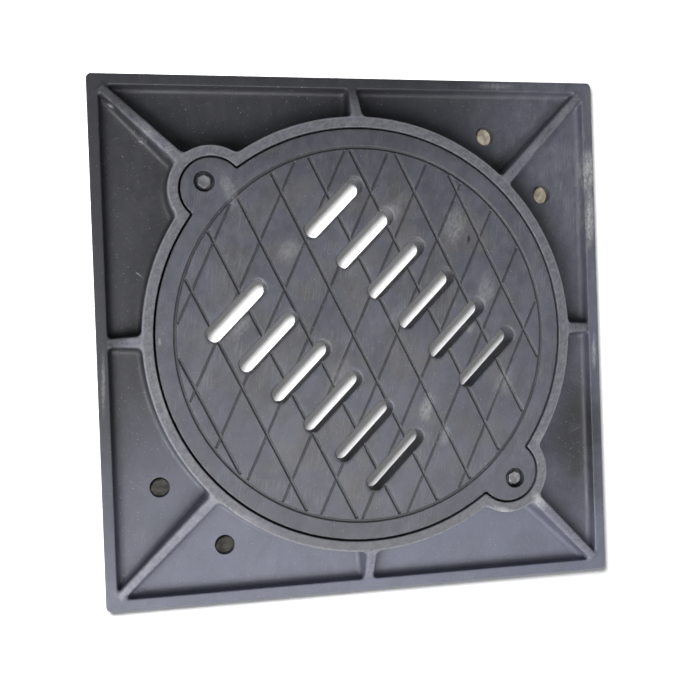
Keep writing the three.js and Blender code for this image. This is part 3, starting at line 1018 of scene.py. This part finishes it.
def make_bolt(number, material):
    """A hex head bolt with a chamfered, slightly dished head and a rolled thread."""
    place = LOCKS[number - 1]
    low, high = box_mm(f"lock_bolt_{number}")
    tip, top = low[2], high[2]
    under_head = top - HEAD_HEIGHT
    angles = round_angles(COLUMNS)
    wider_in_x = high[0] - low[0] > high[1] - low[1]
    first_corner = 0 if wider_in_x else math.radians(30)

    def shank(share, z):
        thread = BOLT_ROOT + share * (BOLT_SHANK - BOLT_ROOT)
        chamfer = BOLT_SHANK - 1.1 + (z - tip)
        run_out = np.clip(BOLT_ROOT + (z - under_head + 2.4) * 0.6, 0, BOLT_SHANK)
        return np.maximum(np.minimum(thread, chamfer), run_out)

    hexagon = HEAD_ACROSS_FLATS / 2 / np.cos((angles - first_corner) % math.radians(60) - math.radians(30))
    chamfer_circle = 0.95 * HEAD_ACROSS_FLATS / 2
    drop = (hexagon - chamfer_circle) * math.tan(math.radians(30))
    rows = thread_rows(tip, under_head, shank, place)
    for radius, z in (
        (hexagon - 0.3, under_head),
        (hexagon, under_head + 0.3),
        (hexagon - 0.02, top - drop - 0.25),
        (hexagon - 0.2, top - drop),
        (chamfer_circle, top - 0.05),
        (chamfer_circle - 0.4, top),
        (chamfer_circle - 1.2, top - 0.05),
        (chamfer_circle - 2.2, top - 0.3),
        (1.0, top - 0.42),
    ):
        rows.append(polar(place, radius, angles, z))
    points, faces = grid(np.array(rows))
    piece = make_piece(f"hex_bolt_{number}", points, faces, weld=0.002, sharp=38)
    return fit(piece, f"bolt_{number}", "zinc_steel", material, f"lock_bolt_{number}")


def make_spring_washer(number, material):
    """A split ring whose two ends stand apart in height."""
    place = LOCKS[number - 1]
    low, high = box_mm(f"spring_washer_{number}")
    inner, outer, thick = BOLT_SHANK + GAP, SPRING_RADIUS, SPRING_THICKNESS
    section = softened([(inner, 0), (outer, 0), (outer, thick), (inner, thick)], WASHER_EDGE)
    split = math.asin(SPRING_SPLIT / 2 / outer)
    rows = []
    for share in np.linspace(0, 1, 49):
        angle = split + share * (2 * math.pi - 2 * split)
        z = low[2] + section[:, 1] + share * (high[2] - low[2] - thick)
        rows.append(polar(place, section[:, 0], angle, z))
    piece = make_piece(f"split_washer_{number}", *grid(np.array(rows)))
    return fit(piece, f"washers_{number}", "zinc_steel", material, f"spring_washer_{number}")


def make_ring(name, node, body, slot, material, inner, outer, corner, count=72):
    """A round tube with softened corners, as high as its CAD node."""
    low, high = box_mm(node)
    place = (low + high)[:2] / 2
    bottom, top = low[2], high[2]
    section = softened([(inner, bottom), (outer, bottom), (outer, top), (inner, top)], corner)
    piece = make_piece(name, *grid(ring_rows(section, count, place), wrap_rows=True))
    return fit(piece, body, slot, material, node)


def make_insert(number, material):
    """A brass insert with a real inner thread and two knurled bands."""
    place = LOCKS[number - 1]
    low, high = box_mm(f"thread_insert_{number}")
    bottom, top = low[2], high[2]
    outer = (high[0] - low[0]) / 2
    angles = round_angles(COLUMNS)
    knurl = 0.35 * (np.arange(COLUMNS) % 2)

    def thread(share, z):
        lead = np.maximum(0, 1 - np.minimum(z - bottom, top - z))
        depth = INSERT_ROOT - INSERT_CREST
        return np.maximum(INSERT_ROOT - share * depth, INSERT_CREST + lead * depth)

    rows = thread_rows(bottom, top, thread, place)
    height = top - bottom
    for radius, z in (
        (outer - 0.5, top),
        (outer - 0.05, top - 0.5),
        (outer - 0.05, top - 1.5),
        (outer - knurl, top - 2),
        (outer - knurl, top - 0.45 * height),
        (outer - 1.2, top - 0.45 * height - 0.8),
        (outer - 1.2, top - 0.55 * height),
        (outer - knurl, top - 0.55 * height - 0.8),
        (outer - knurl, bottom + 2),
        (outer - 0.05, bottom + 1.5),
        (outer - 0.05, bottom + 0.5),
        (outer - 0.5, bottom),
    ):
        rows.append(polar(place, radius, angles, z))
    points, faces = grid(np.array(rows), wrap_rows=True)
    piece = make_piece(f"knurled_insert_{number}", points, faces, weld=0.002, sharp=38)
    return fit(piece, "frame", "insert_brass", material, f"thread_insert_{number}")


def make_gasket(material):
    """A ring of rubber with two sealing beads along its top."""
    inner, outer = GASKET_INNER, gasket_high[0]
    bottom, top = gasket_low[2], gasket_high[2]
    across = np.linspace(0, 1, 23)
    beads = np.abs(np.sin(2 * math.pi * across)) ** 1.5
    upper = top - BEAD_HEIGHT + BEAD_HEIGHT * beads
    upper[0] = upper[-1] = top - BEAD_HEIGHT - 0.25
    radius = inner + across * (outer - inner)
    lower = [(outer - 0.3, bottom), ((inner + outer) / 2, bottom), (inner + 0.3, bottom)]
    section = np.array([*zip(radius, upper), (outer, bottom + 0.3), *lower, (inner, bottom + 0.3)])
    piece = make_piece("seat_seal", *grid(ring_rows(section, 240), wrap_rows=True))
    return fit(piece, "frame", "gasket_rubber", material, "seat_gasket")


# ---------------------------------------------------------------- marks on the surface
def at(radius, bearing):
    """Plan place at a distance from the middle and a bearing in degrees from X."""
    return radius * math.cos(math.radians(bearing)), radius * math.sin(math.radians(bearing))


LOBE_END = EAR_CENTRE + LOBE_RADIUS
RIM_MIDDLE = HALF_SIDE - RIM_WIDTH / 2

# Scuffs, as chalk() takes them.
FRAME_SCUFFS = [
    (at(LOBE_END + 8, -45), 20, 13, -45, 1.0),
    (at(LOBE_END - 22, -53), 30, 8, -20, 0.75),
    (at(RING_RADIUS - 4, -32), 16, 7, 60, 0.35),
    ((RIM_MIDDLE, 255), 45, 15, 88, 1.0),
    ((RIM_MIDDLE, 180), 60, 10, 88, 1.0),
    ((RIM_MIDDLE, -40), 40, 5, 88, 0.6),
    ((235, RIM_MIDDLE), 40, 7, 0, 0.3),
    ((-RIM_MIDDLE, -60), 60, 4, 88, 0.35),
    (at(RING_RADIUS + 75, 45), 26, 7, 45, 0.35),
    (at(RING_RADIUS + 160, 45), 30, 12, 45, 0.22),
    (at(LOBE_END + 60, 135), 30, 8, -45, 0.25),
    (at(LOBE_END + 130, 136), 9, 1.5, -40, 0.9),
    (at(RING_RADIUS + 18, 163), 8, 1.5, -40, 0.9),
    (at(RING_RADIUS - 15, 195), 60, 6, 105, 0.25),
    (at(RING_RADIUS - 5, 235), 60, 6, 150, 0.25),
]
LID_SCUFFS = [
    (at(BORDER_RADIUS + 10, 132), 40, 14, 110, 0.32),
    (at(220, 48), 40, 22, 75, 0.32),
    (at(195, 75), 34, 18, 60, 0.25),
    (at(170, 130), 30, 22, 40, 0.25),
    (at(150, -52), 30, 14, 70, 0.45),
    (at(200, -53), 22, 12, 80, 0.35),
    (at(165, 5), 26, 14, 100, 0.45),
    (at(205, 18), 40, 22, 75, 0.28),
    (at(235, -20), 36, 22, 60, 0.22),
    (at(65, 25), 30, 22, 20, 0.2),
    (at(70, -125), 36, 20, 60, 0.2),
    (at(190, 175), 30, 14, 50, 0.25),
    (at(LID_RADIUS - 6, 180), 7, 3, 90, 0.8),
]
NICK = at(222, 40)  # small dark nick in the lid
HATCHES = [at(LOBE_END + 20, 135), at(LOBE_END + 62, 136)]  # strokes across a rib


# ---------------------------------------------------------------- materials
class Finish:
    """One material's nodes. Lengths are in millimetres, from the object's own coordinates."""

    def __init__(self, name):
        self.material = bpy.data.materials.new(name)
        self.material.use_nodes = True
        self.tree = self.material.node_tree
        self.shader = self.tree.nodes["Principled BSDF"]
        metres = self.node("ShaderNodeTexCoord").outputs["Object"]
        scaled = self.node("ShaderNodeVectorMath", {"Vector": metres, "Scale": 1 / MM}, operation="SCALE")
        self.place = scaled.outputs["Vector"]
        self.colour = None
        self.height = None

    def node(self, kind, inputs=None, **settings):
        made = self.tree.nodes.new(kind)
        for name, value in settings.items():
            setattr(made, name, value)
        for name, value in (inputs or {}).items():
            self.put(made.inputs[name], value)
        return made

    def put(self, socket, value):
        if isinstance(value, bpy.types.NodeSocket):
            self.tree.links.new(value, socket)
        else:
            socket.default_value = value

    def math(self, operation, a, b=0.0):
        made = self.node("ShaderNodeMath", operation=operation)
        self.put(made.inputs[0], a)
        self.put(made.inputs[1], b)
        return made.outputs[0]

    def times(self, a, b):
        return self.math("MULTIPLY", a, b)

    def plus(self, a, b):
        return self.math("ADD", a, b)

    def most(self, a, b):
        return self.math("MAXIMUM", a, b)

    def rest(self, a):
        return self.math("SUBTRACT", 1.0, a)

    def mark(self, name):
        """A point attribute of the mesh."""
        return self.node("ShaderNodeAttribute", attribute_name=name).outputs["Fac"]

    def distance(self):
        """Distance from the origin."""
        return self.node("ShaderNodeVectorMath", {0: self.place}, operation="LENGTH").outputs["Value"]

    def noise(self, size, detail=3.0, roughness=0.55, stretch=None, turn=0.0, shift=0.0):
        """Noise with features about `size` mm across, or `stretch` times as long along a turned X."""
        mapping = self.node("ShaderNodeMapping", {"Vector": self.place})
        long = size * (stretch or 1)
        mapping.vector_type = "TEXTURE"
        mapping.inputs["Location"].default_value = (shift, shift / 3, 0)
        mapping.inputs["Rotation"].default_value = (0, 0, math.radians(turn))
        mapping.inputs["Scale"].default_value = (long, size, size)
        settings = {"Vector": mapping.outputs[0], "Scale": 1.0, "Detail": detail, "Roughness": roughness}
        return self.node("ShaderNodeTexNoise", settings).outputs["Fac"]

    def swirl(self, size, stretch):
        """Noise drawn out along circles about the origin."""
        across, along, up = self.separate()
        arc = self.times(self.math("ARCTAN2", along, across), RING_RADIUS / (size * stretch))
        square = self.plus(self.math("POWER", across, 2.0), self.math("POWER", along, 2.0))
        radius = self.math("SQRT", square)
        place = self.node("ShaderNodeCombineXYZ", {"X": arc, "Y": self.math("DIVIDE", radius, size)})
        settings = {"Vector": place.outputs[0], "Scale": 1.0, "Detail": 4.0, "Roughness": 0.65}
        return self.node("ShaderNodeTexNoise", settings).outputs["Fac"]

    def band(self, value, low, high, to_low=0.0, to_high=1.0):
        """Smooth step from to_low at `low` to to_high at `high`."""
        settings = {"Value": value, "From Min": low, "From Max": high, "To Min": to_low, "To Max": to_high}
        made = self.node("ShaderNodeMapRange", settings, interpolation_type="SMOOTHSTEP")
        return made.outputs[0]

    def mix(self, share, a, b):
        made = self.node("ShaderNodeMix", data_type="RGBA")
        for socket, value in zip((made.inputs[0], made.inputs[6], made.inputs[7]), (share, a, b)):
            self.put(socket, value)
        return made.outputs[2]

    def paint(self, share, colour):
        """Lays a colour over the colour so far."""
        self.colour = self.mix(share, self.colour, colour)

    def separate(self):
        return self.node("ShaderNodeSeparateXYZ", {"Vector": self.place}).outputs

    def patch(self, x, y, length, width, turn):
        """Mask of a ragged patch about a plan position, with its long way turned from X."""
        mapping = self.node("ShaderNodeMapping", {"Vector": self.place}, vector_type="TEXTURE")
        mapping.inputs["Location"].default_value = (x, y, 0)
        mapping.inputs["Rotation"].default_value = (0, 0, math.radians(turn))
        mapping.inputs["Scale"].default_value = (length, width, 1e4)
        away = self.node("ShaderNodeVectorMath", {0: mapping.outputs[0]}, operation="LENGTH")
        ragged = self.plus(away.outputs["Value"], self.noise(width * 0.5, 5, 0.7, 2, turn))
        return self.band(ragged, 0.7, 1.5, 1.0, 0.0)

    def bump(self, height, distance, strength=1.0, below=None):
        inputs = {"Height": height, "Distance": distance * MM, "Strength": strength}
        if below is not None:
            inputs["Normal"] = below
        return self.node("ShaderNodeBump", inputs).outputs["Normal"]

    def finish(self, **sockets):
        for name, value in sockets.items():
            self.put(self.shader.inputs[name.replace("_", " ")], value)
        return self.material


def grey(value, blue=1.0, red=1.0):
    """A colour of one value, with its blue and red scaled."""
    return (value * red, value, value * blue, 1)


def scratches(look, directions, width, length, rarity):
    """Mask of fine straight scratches in a few directions, in scattered groups."""
    total = 0.0
    for k, turn in enumerate(directions):
        line = look.band(look.noise(width, 1, 0.4, length / width, turn, 131 * k + 17), 0.69, 0.735)
        group = look.band(look.noise(70, 2, 0.5, None, 0, 57 * k + 9), rarity, rarity + 0.1)
        total = look.most(total, look.times(line, group))
    return total


def composite_ground(look, base):
    """Blotchy blue-grey to warm grey resin with smoky clouds, brushed streaks and sandy grain."""
    blotch = look.band(look.noise(85, 4, 0.6), 0.36, 0.64)
    blue = look.mix(blotch, grey(base * 0.84, 1.4, 0.93), grey(base * 1.12, 1.34, 0.95))
    warm = look.mix(blotch, grey(base * 0.92, 1.03, 1.04), grey(base * 1.25, 1.08, 1.03))
    warmth = look.band(look.noise(60, 3, 0.55, None, 0, 500), 0.44, 0.62)
    warmth = look.times(warmth, look.band(look.distance(), BORDER_RADIUS - 40, BORDER_RADIUS + 5, 1.0, 0.15))
    look.colour = look.mix(look.times(warmth, 0.75), blue, warm)
    cloud = look.band(look.noise(14, 5, 0.7, 1.6, 80), 0.34, 0.68)
    look.paint(look.times(cloud, 0.42), grey(base * 1.65, 1.1))
    smoke = look.band(look.noise(32, 5, 0.6, 1.5, 60, 210), 0.42, 0.66, 0.0, 0.4)
    look.paint(smoke, grey(base * 0.62, 1.12))
    streak = look.band(look.noise(1.5, 2, 0.5, 18, 82), 0.5, 0.68)
    brushed = look.band(look.noise(55, 2, 0.5, None, 0, 900), 0.48, 0.62, 0.0, 0.42)
    look.paint(look.times(streak, brushed), grey(base * 2.3, 1.06))
    grain = look.noise(0.9, 3, 0.6)
    look.paint(look.band(grain, 0.35, 0.7, 0.0, 0.2), grey(base * 1.8, 1.14))
    look.paint(look.band(look.noise(5, 2, 0.5, None, 0, 40), 0.62, 0.74, 0.0, 0.3), grey(base * 0.45, 1.15))
    look.height = look.plus(look.times(grain, 0.5), look.times(look.noise(4.5, 3, 0.6), 0.9))
    return look.band(cloud, 0.0, 1.0, 0.47, 0.62)


def shade_frame(look, base):
    """Painted shade and light on the flange: darker towards -X and +Y and in the ring's painted shadow,
    lighter and bluer towards -Y. Returns how strongly scratches and rubbed edges show.
    """
    across, along, up = look.separate()
    low_down = look.band(up, TOP - 1, FLOOR + 22)
    # painted shade: the flange darker towards -X and +Y
    corner = look.plus(look.math("SUBTRACT", along, across), look.times(look.noise(120, 4, 0.6), 160.0))
    painted_shade = look.times(look.band(corner, 0, 400, 0.0, 0.9), low_down)
    # painted shadow of the ring on the floor on its shadow side, and a patch of painted shade by the right
    # rim
    shadow_side = look.band(look.plus(along, look.times(across, 0.8)), 0, 220)
    beside_ring = look.band(look.distance(), RING_RADIUS + 4, RING_RADIUS + 75, 0.6, 0.0)
    beside_rim = look.times(look.patch(362, -180, 75, 180, 0), 0.95)
    painted_shadow = look.times(look.most(look.times(beside_ring, shadow_side), beside_rim), low_down)
    # painted light: the flange lighter and bluer towards -Y
    look.paint(look.band(along, 180, -180, 0.0, 0.5), grey(base * 1.14, 1.45, 0.93))
    look.paint(look.most(painted_shade, painted_shadow), grey(base * 0.22, 1.2))
    return look.band(painted_shade, 0.2, 0.8, 0.45, 0.1), look.band(painted_shade, 0.2, 0.8, 0.6, 0.25)


def cut_ring_top(look, base):
    """The coarse, mottled and tooled top of the ring, with painted shade towards -Y."""
    across, along, up = look.separate()
    cut = look.band(up, TOP - 1.9, TOP - 0.7)
    mottle = look.band(look.noise(7, 6, 0.75, 1.5, 35), 0.36, 0.68)
    tooling = look.band(look.swirl(1.1, 16), 0.5, 0.66)
    colour = look.mix(mottle, grey(base * 0.86, 1.2), grey(base * 1.6, 1.14))
    colour = look.mix(look.times(tooling, 0.25), colour, grey(base * 2.9, 1.07))
    # painted shade: the ring's top darker towards -Y
    colour = look.mix(look.band(along, -230, -320, 0.0, 0.6), colour, grey(base * 0.85, 1.15))
    look.paint(cut, colour)
    coarse = look.times(look.plus(mottle, tooling), cut)
    look.height = look.plus(look.height, look.times(coarse, 0.35))


def shade_lid(look, base):
    """Dusty lips along the grooves, and painted shade on two sides."""
    dirt = look.mark("dirt")
    lips = look.times(look.rest(dirt), look.times(dirt, 2.6))
    dusty = look.band(look.noise(9, 4, 0.7, None, 0, 660), 0.45, 0.62, 0.0, 0.6)
    look.paint(look.times(lips, dusty), grey(base * 2.8, 1.04))
    along = look.separate()[1]
    # painted shade: the lid darker towards +Y and, less, towards -Y
    shaded_sides = look.most(look.band(along, 170, 330, 0.0, 0.45), look.band(along, -170, -320, 0.0, 0.25))
    look.paint(shaded_sides, grey(base * 0.4, 1.2))


def use_marks(look, base, worn, grime_and_shade, score_turns, score_strength, rub_strength):
    """Grime and painted shade in the corners and grooves, rubbed edges, scratches and pale specks."""
    # painted shade and grime: darker in the corners at the walls' feet, in the grooves and along the lid's
    # edge
    look.paint(look.times(look.mark("dirt"), grime_and_shade), grey(base * 0.3, 1.1))
    uneven = look.times(look.math("SUBTRACT", look.noise(7, 5, 0.72), 0.5), 1.5)
    rubbed = look.band(look.plus(look.mark("wear"), uneven), 0.55, 1.1, 0.0, rub_strength)
    look.paint(rubbed, grey(worn, 1.12))
    scored = scratches(look, score_turns, 0.7, 34, 0.52)
    look.paint(look.times(scored, score_strength), grey(worn * 1.1, 1.1))
    look.paint(look.band(look.noise(1.9, 1, 0.5, None, 0, 300), 0.74, 0.78, 0.0, 0.6), grey(0.42))


def chalk(look, scuffs):
    """Pale powdery scuffs: plan place, half length, half width, turn in degrees and strength of each."""
    powder = look.band(look.noise(3.4, 6, 0.75, 2, 70, 77), 0.3, 0.62)
    for place, length, width, turn, strength in scuffs:
        mask = look.times(look.patch(*place, length, width, turn), powder)
        look.paint(look.times(mask, strength), grey(0.34, 1.02))


def hatch(look, places):
    """Short pale hatched strokes."""
    strokes = look.band(look.noise(1.5, 1, 0.4, 12, 8), 0.55, 0.64, 0.0, 0.5)
    for place in places:
        look.paint(look.times(look.patch(*place, 17, 10, 40), strokes), grey(0.3, 1.02))


def finish_composite(look, roughness):
    return look.finish(Base_Color=look.colour, Roughness=roughness, Normal=look.bump(look.height, 0.32, 0.5))


def frame_look(name, base, worn):
    """Moulded glass composite of the frame."""
    look = Finish(name)
    roughness = composite_ground(look, base)
    strengths = shade_frame(look, base)
    cut_ring_top(look, base)
    use_marks(look, base, worn, 0.2, (22, 68, 115, 150), *strengths)
    chalk(look, FRAME_SCUFFS)
    hatch(look, HATCHES)
    return finish_composite(look, roughness)


def lid_look(name, base, worn):
    """Moulded glass composite of the lid."""
    look = Finish(name)
    roughness = composite_ground(look, base)
    shade_lid(look, base)
    use_marks(look, base, worn, 0.75, (12, 48, 95, 140), 0.4, 0.6)
    chalk(look, LID_SCUFFS)
    look.paint(look.times(look.patch(*NICK, 10, 4, 80), 0.9), grey(0.006))
    return finish_composite(look, roughness)


def steel_look(name, dark, light, rust, roughness, metallic=1.0):
    """Plated or rolled steel: cloudy plating, fine grinding lines and a little staining."""
    look = Finish(name)
    cloud = look.band(look.noise(5, 4, 0.6), 0.3, 0.7)
    colour = look.mix(cloud, dark, light)
    lines = look.noise(0.5, 2, 0.5, 12, 30)
    colour = look.mix(look.band(lines, 0.5, 0.75, 0.0, 0.3), colour, light)
    stain = look.band(look.noise(2.4, 4, 0.7, None, 0, 12), 0.58, 0.72, 0.0, rust)
    colour = look.mix(stain, colour, (0.11, 0.045, 0.018, 1))
    rough = look.band(cloud, 0.0, 1.0, roughness + 0.08, roughness - 0.08)
    metal = look.band(stain, 0.0, 1.0, metallic, metallic * 0.2)
    normal = look.bump(look.plus(look.times(lines, 0.4), look.noise(1.3, 3, 0.6)), 0.08, 0.5)
    return look.finish(Base_Color=colour, Roughness=rough, Metallic=metal, Normal=normal)


def rubber_look(name):
    """Dusty black rubber."""
    look = Finish(name)
    dust = look.band(look.noise(14, 5, 0.65), 0.42, 0.72, 0.0, 0.5)
    colour = look.mix(dust, grey(0.017), grey(0.075, 0.92, 1.04))
    grain = look.noise(0.6, 3, 0.6)
    rough = look.band(dust, 0.0, 0.5, 0.62, 0.85)
    return look.finish(Base_Color=colour, Roughness=rough, Normal=look.bump(grain, 0.1, 0.4))


def floor_look(name):
    """Pale floor with a painted glow, faint near and under the frame and brighter further out. What lies
    under the flange's holes is earthy, with painted shade making it dark to the lower left.
    """
    look = Finish(name)
    shade = look.band(look.noise(260, 3, 0.5), 0.3, 0.7)
    colour = look.mix(shade, grey(0.83), grey(0.86))
    across, along, up = look.separate()
    lumps = look.band(look.noise(11, 4, 0.6), 0.35, 0.65)
    shaded_earth = look.mix(lumps, (0.012, 0.011, 0.01, 1), (0.045, 0.041, 0.034, 1))
    pale_earth = look.mix(lumps, (0.13, 0.115, 0.088, 1), (0.25, 0.225, 0.175, 1))
    earth = look.mix(look.band(look.plus(across, along), -100.0, 100.0), shaded_earth, pale_earth)
    wider = look.most(look.math("ABSOLUTE", across), look.math("ABSOLUTE", along))
    hidden = look.times(look.band(look.distance(), 322, 330), look.band(wider, 375, 365))
    colour = look.mix(hidden, colour, earth)
    # painted light: the floor's own glow, weak near the frame, none under its flange, brighter further out
    glow = look.band(wider, HALF_SIDE + 12, HALF_SIDE + 80, 0.15, 0.7)
    return look.finish(
        Base_Color=colour, Emission_Color=colour, Emission_Strength=look.times(look.rest(hidden), glow),
        Roughness=0.9, Normal=look.bump(look.noise(2, 2, 0.5), 0.02, 0.3),
    )


def backdrop_look(name):
    """Pale backdrop that gives the scene no light of its own."""
    look = Finish(name)
    shade = look.band(look.noise(9000, 2, 0.5), 0.3, 0.7)
    colour = look.mix(shade, grey(0.78), grey(0.82))
    look.shader.inputs["Emission Strength"].default_value = 1.0
    return look.finish(Base_Color=(0, 0, 0, 1), Emission_Color=colour, Roughness=1.0)


# ---------------------------------------------------------------- the object
zinc_look = steel_look("zinc_steel", grey(0.11, 1.1), grey(0.2, 1.08), 0.2, 0.62, 0.45)
stainless_look = steel_look("stainless_steel", grey(0.42), grey(0.6), 0.0, 0.32)
brass_look = steel_look("brass", (0.45, 0.29, 0.1, 1), (0.72, 0.5, 0.2, 1), 0.15, 0.36)
rolled_look = steel_look("rolled_steel", grey(0.03), grey(0.09, 0.95, 1.05), 0.8, 0.62, 0.7)

pieces = [
    make_frame(frame_look("frame_composite", 0.087, 0.19)),
    make_lid(lid_look("lid_composite", 0.064, 0.15)),
    make_gasket(rubber_look("gasket_rubber")),
]
for number in (1, 2):
    pieces.append(make_bolt(number, zinc_look))
    pieces.append(make_spring_washer(number, zinc_look))
    pieces.append(make_ring(
        f"round_washer_{number}", f"flat_washer_{number}", f"washers_{number}", "zinc_steel", zinc_look,
        WASHER_BORE, WASHER_RADIUS, WASHER_EDGE,
    ))
    pieces.append(make_ring(
        f"steel_sleeve_{number}", f"bolt_sleeve_{number}", "lid", "sleeve_steel", stainless_look,
        SLEEVE_BORE, SLEEVE_HOLE - GAP, SLEEVE_EDGE,
    ))
    pieces.append(make_insert(number, brass_look))
for name, node in frame["nodes"].items():
    if "rod" in name:
        node.data.materials.clear()
        node.data.materials.append(rolled_look)
        pieces.append(node)

# ---------------------------------------------------------------- floor, light and camera
CAMERA_PLACE = Vector((-0.2819, -0.0035, 1.3987))
CAMERA_TARGET = Vector((-0.01785, -0.02322, 0.036))
CAMERA_ROLL = 92.19
CAMERA_LENS = 45.77  # for a sensor 36 mm wide
STAGE_RADIUS = 30


def make_stage(name, shape, material, **settings):
    """A floor or a backdrop, from one of bmesh's own shapes."""
    mesh = bpy.data.meshes.new(name)
    work = bmesh.new()
    shape(work, **settings)
    work.to_mesh(mesh)
    work.free()
    mesh.materials.append(material)
    item = bpy.data.objects.new(name, mesh)
    bpy.context.scene.collection.objects.link(item)
    return item


floor = make_stage(
    "floor", bmesh.ops.create_grid, floor_look("pale_floor"),
    x_segments=8, y_segments=8, size=STAGE_RADIUS,
)
floor.location.z = -0.2 * MM
backdrop = make_stage(
    "backdrop", bmesh.ops.create_uvsphere, backdrop_look("pale_backdrop"),
    u_segments=32, v_segments=16, radius=STAGE_RADIUS - 1,
)
for ray in ("diffuse", "glossy", "transmission", "shadow"):
    setattr(backdrop, f"visible_{ray}", False)


def collection_of(name, objects):
    """A collection for light linking, outside the scene."""
    made = bpy.data.collections.new(name)
    for item in objects:
        made.objects.link(item)
    return made


lit_object = collection_of("lit_object", pieces)
lit_floor = collection_of("lit_floor", [floor])


def aim(item, target, roll=0.0):
    """Points an object's -Z at a target, turned about its own axis."""
    way = Vector(target) - item.location
    item.rotation_mode = "QUATERNION"
    item.rotation_quaternion = way.to_track_quat("-Z", "Y") @ Quaternion((0, 0, 1), math.radians(roll))


def add_light(name, place, target, energy, lit, **settings):
    """A soft area light, in watts, that lights only the objects of one collection."""
    light = bpy.data.lights.new(name, "AREA")
    light.energy = energy
    for setting, value in settings.items():
        setattr(light, setting, value)
    item = bpy.data.objects.new(name, light)
    item.location = place
    bpy.context.scene.collection.objects.link(item)
    aim(item, target)
    item.light_linking.receiver_collection = lit
    item.visible_camera = False
    return item


add_light("key_light", (-1.95, -1.8, 2.85), (0, 0, 0), 214, lit_object, shape="SQUARE", size=2.6)
add_light("near_light", (0.25, -0.7, 1.25), (0.1, -0.1, 0), 10, lit_object, shape="SQUARE", size=0.9)
floor_place = CAMERA_PLACE + Vector((-0.15, 0.265, 0))
floor_target = (floor_place.x, floor_place.y, 0)
add_light("floor_light", floor_place, floor_target, 44, lit_floor, shape="DISK", size=0.34)

world = bpy.data.worlds.new("studio")
world.use_nodes = True
sky = world.node_tree.nodes["Background"]
sky.inputs["Color"].default_value = (0.93, 0.96, 1, 1)
sky.inputs["Strength"].default_value = 0.16
bpy.context.scene.world = world

camera = bpy.data.objects.new("camera", bpy.data.cameras.new("camera"))
camera.data.lens = CAMERA_LENS
camera.data.sensor_width = 36
camera.location = CAMERA_PLACE
aim(camera, CAMERA_TARGET, CAMERA_ROLL)
bpy.context.scene.collection.objects.link(camera)
bpy.context.scene.camera = camera
bpy.context.scene.view_settings.view_transform = "Standard"
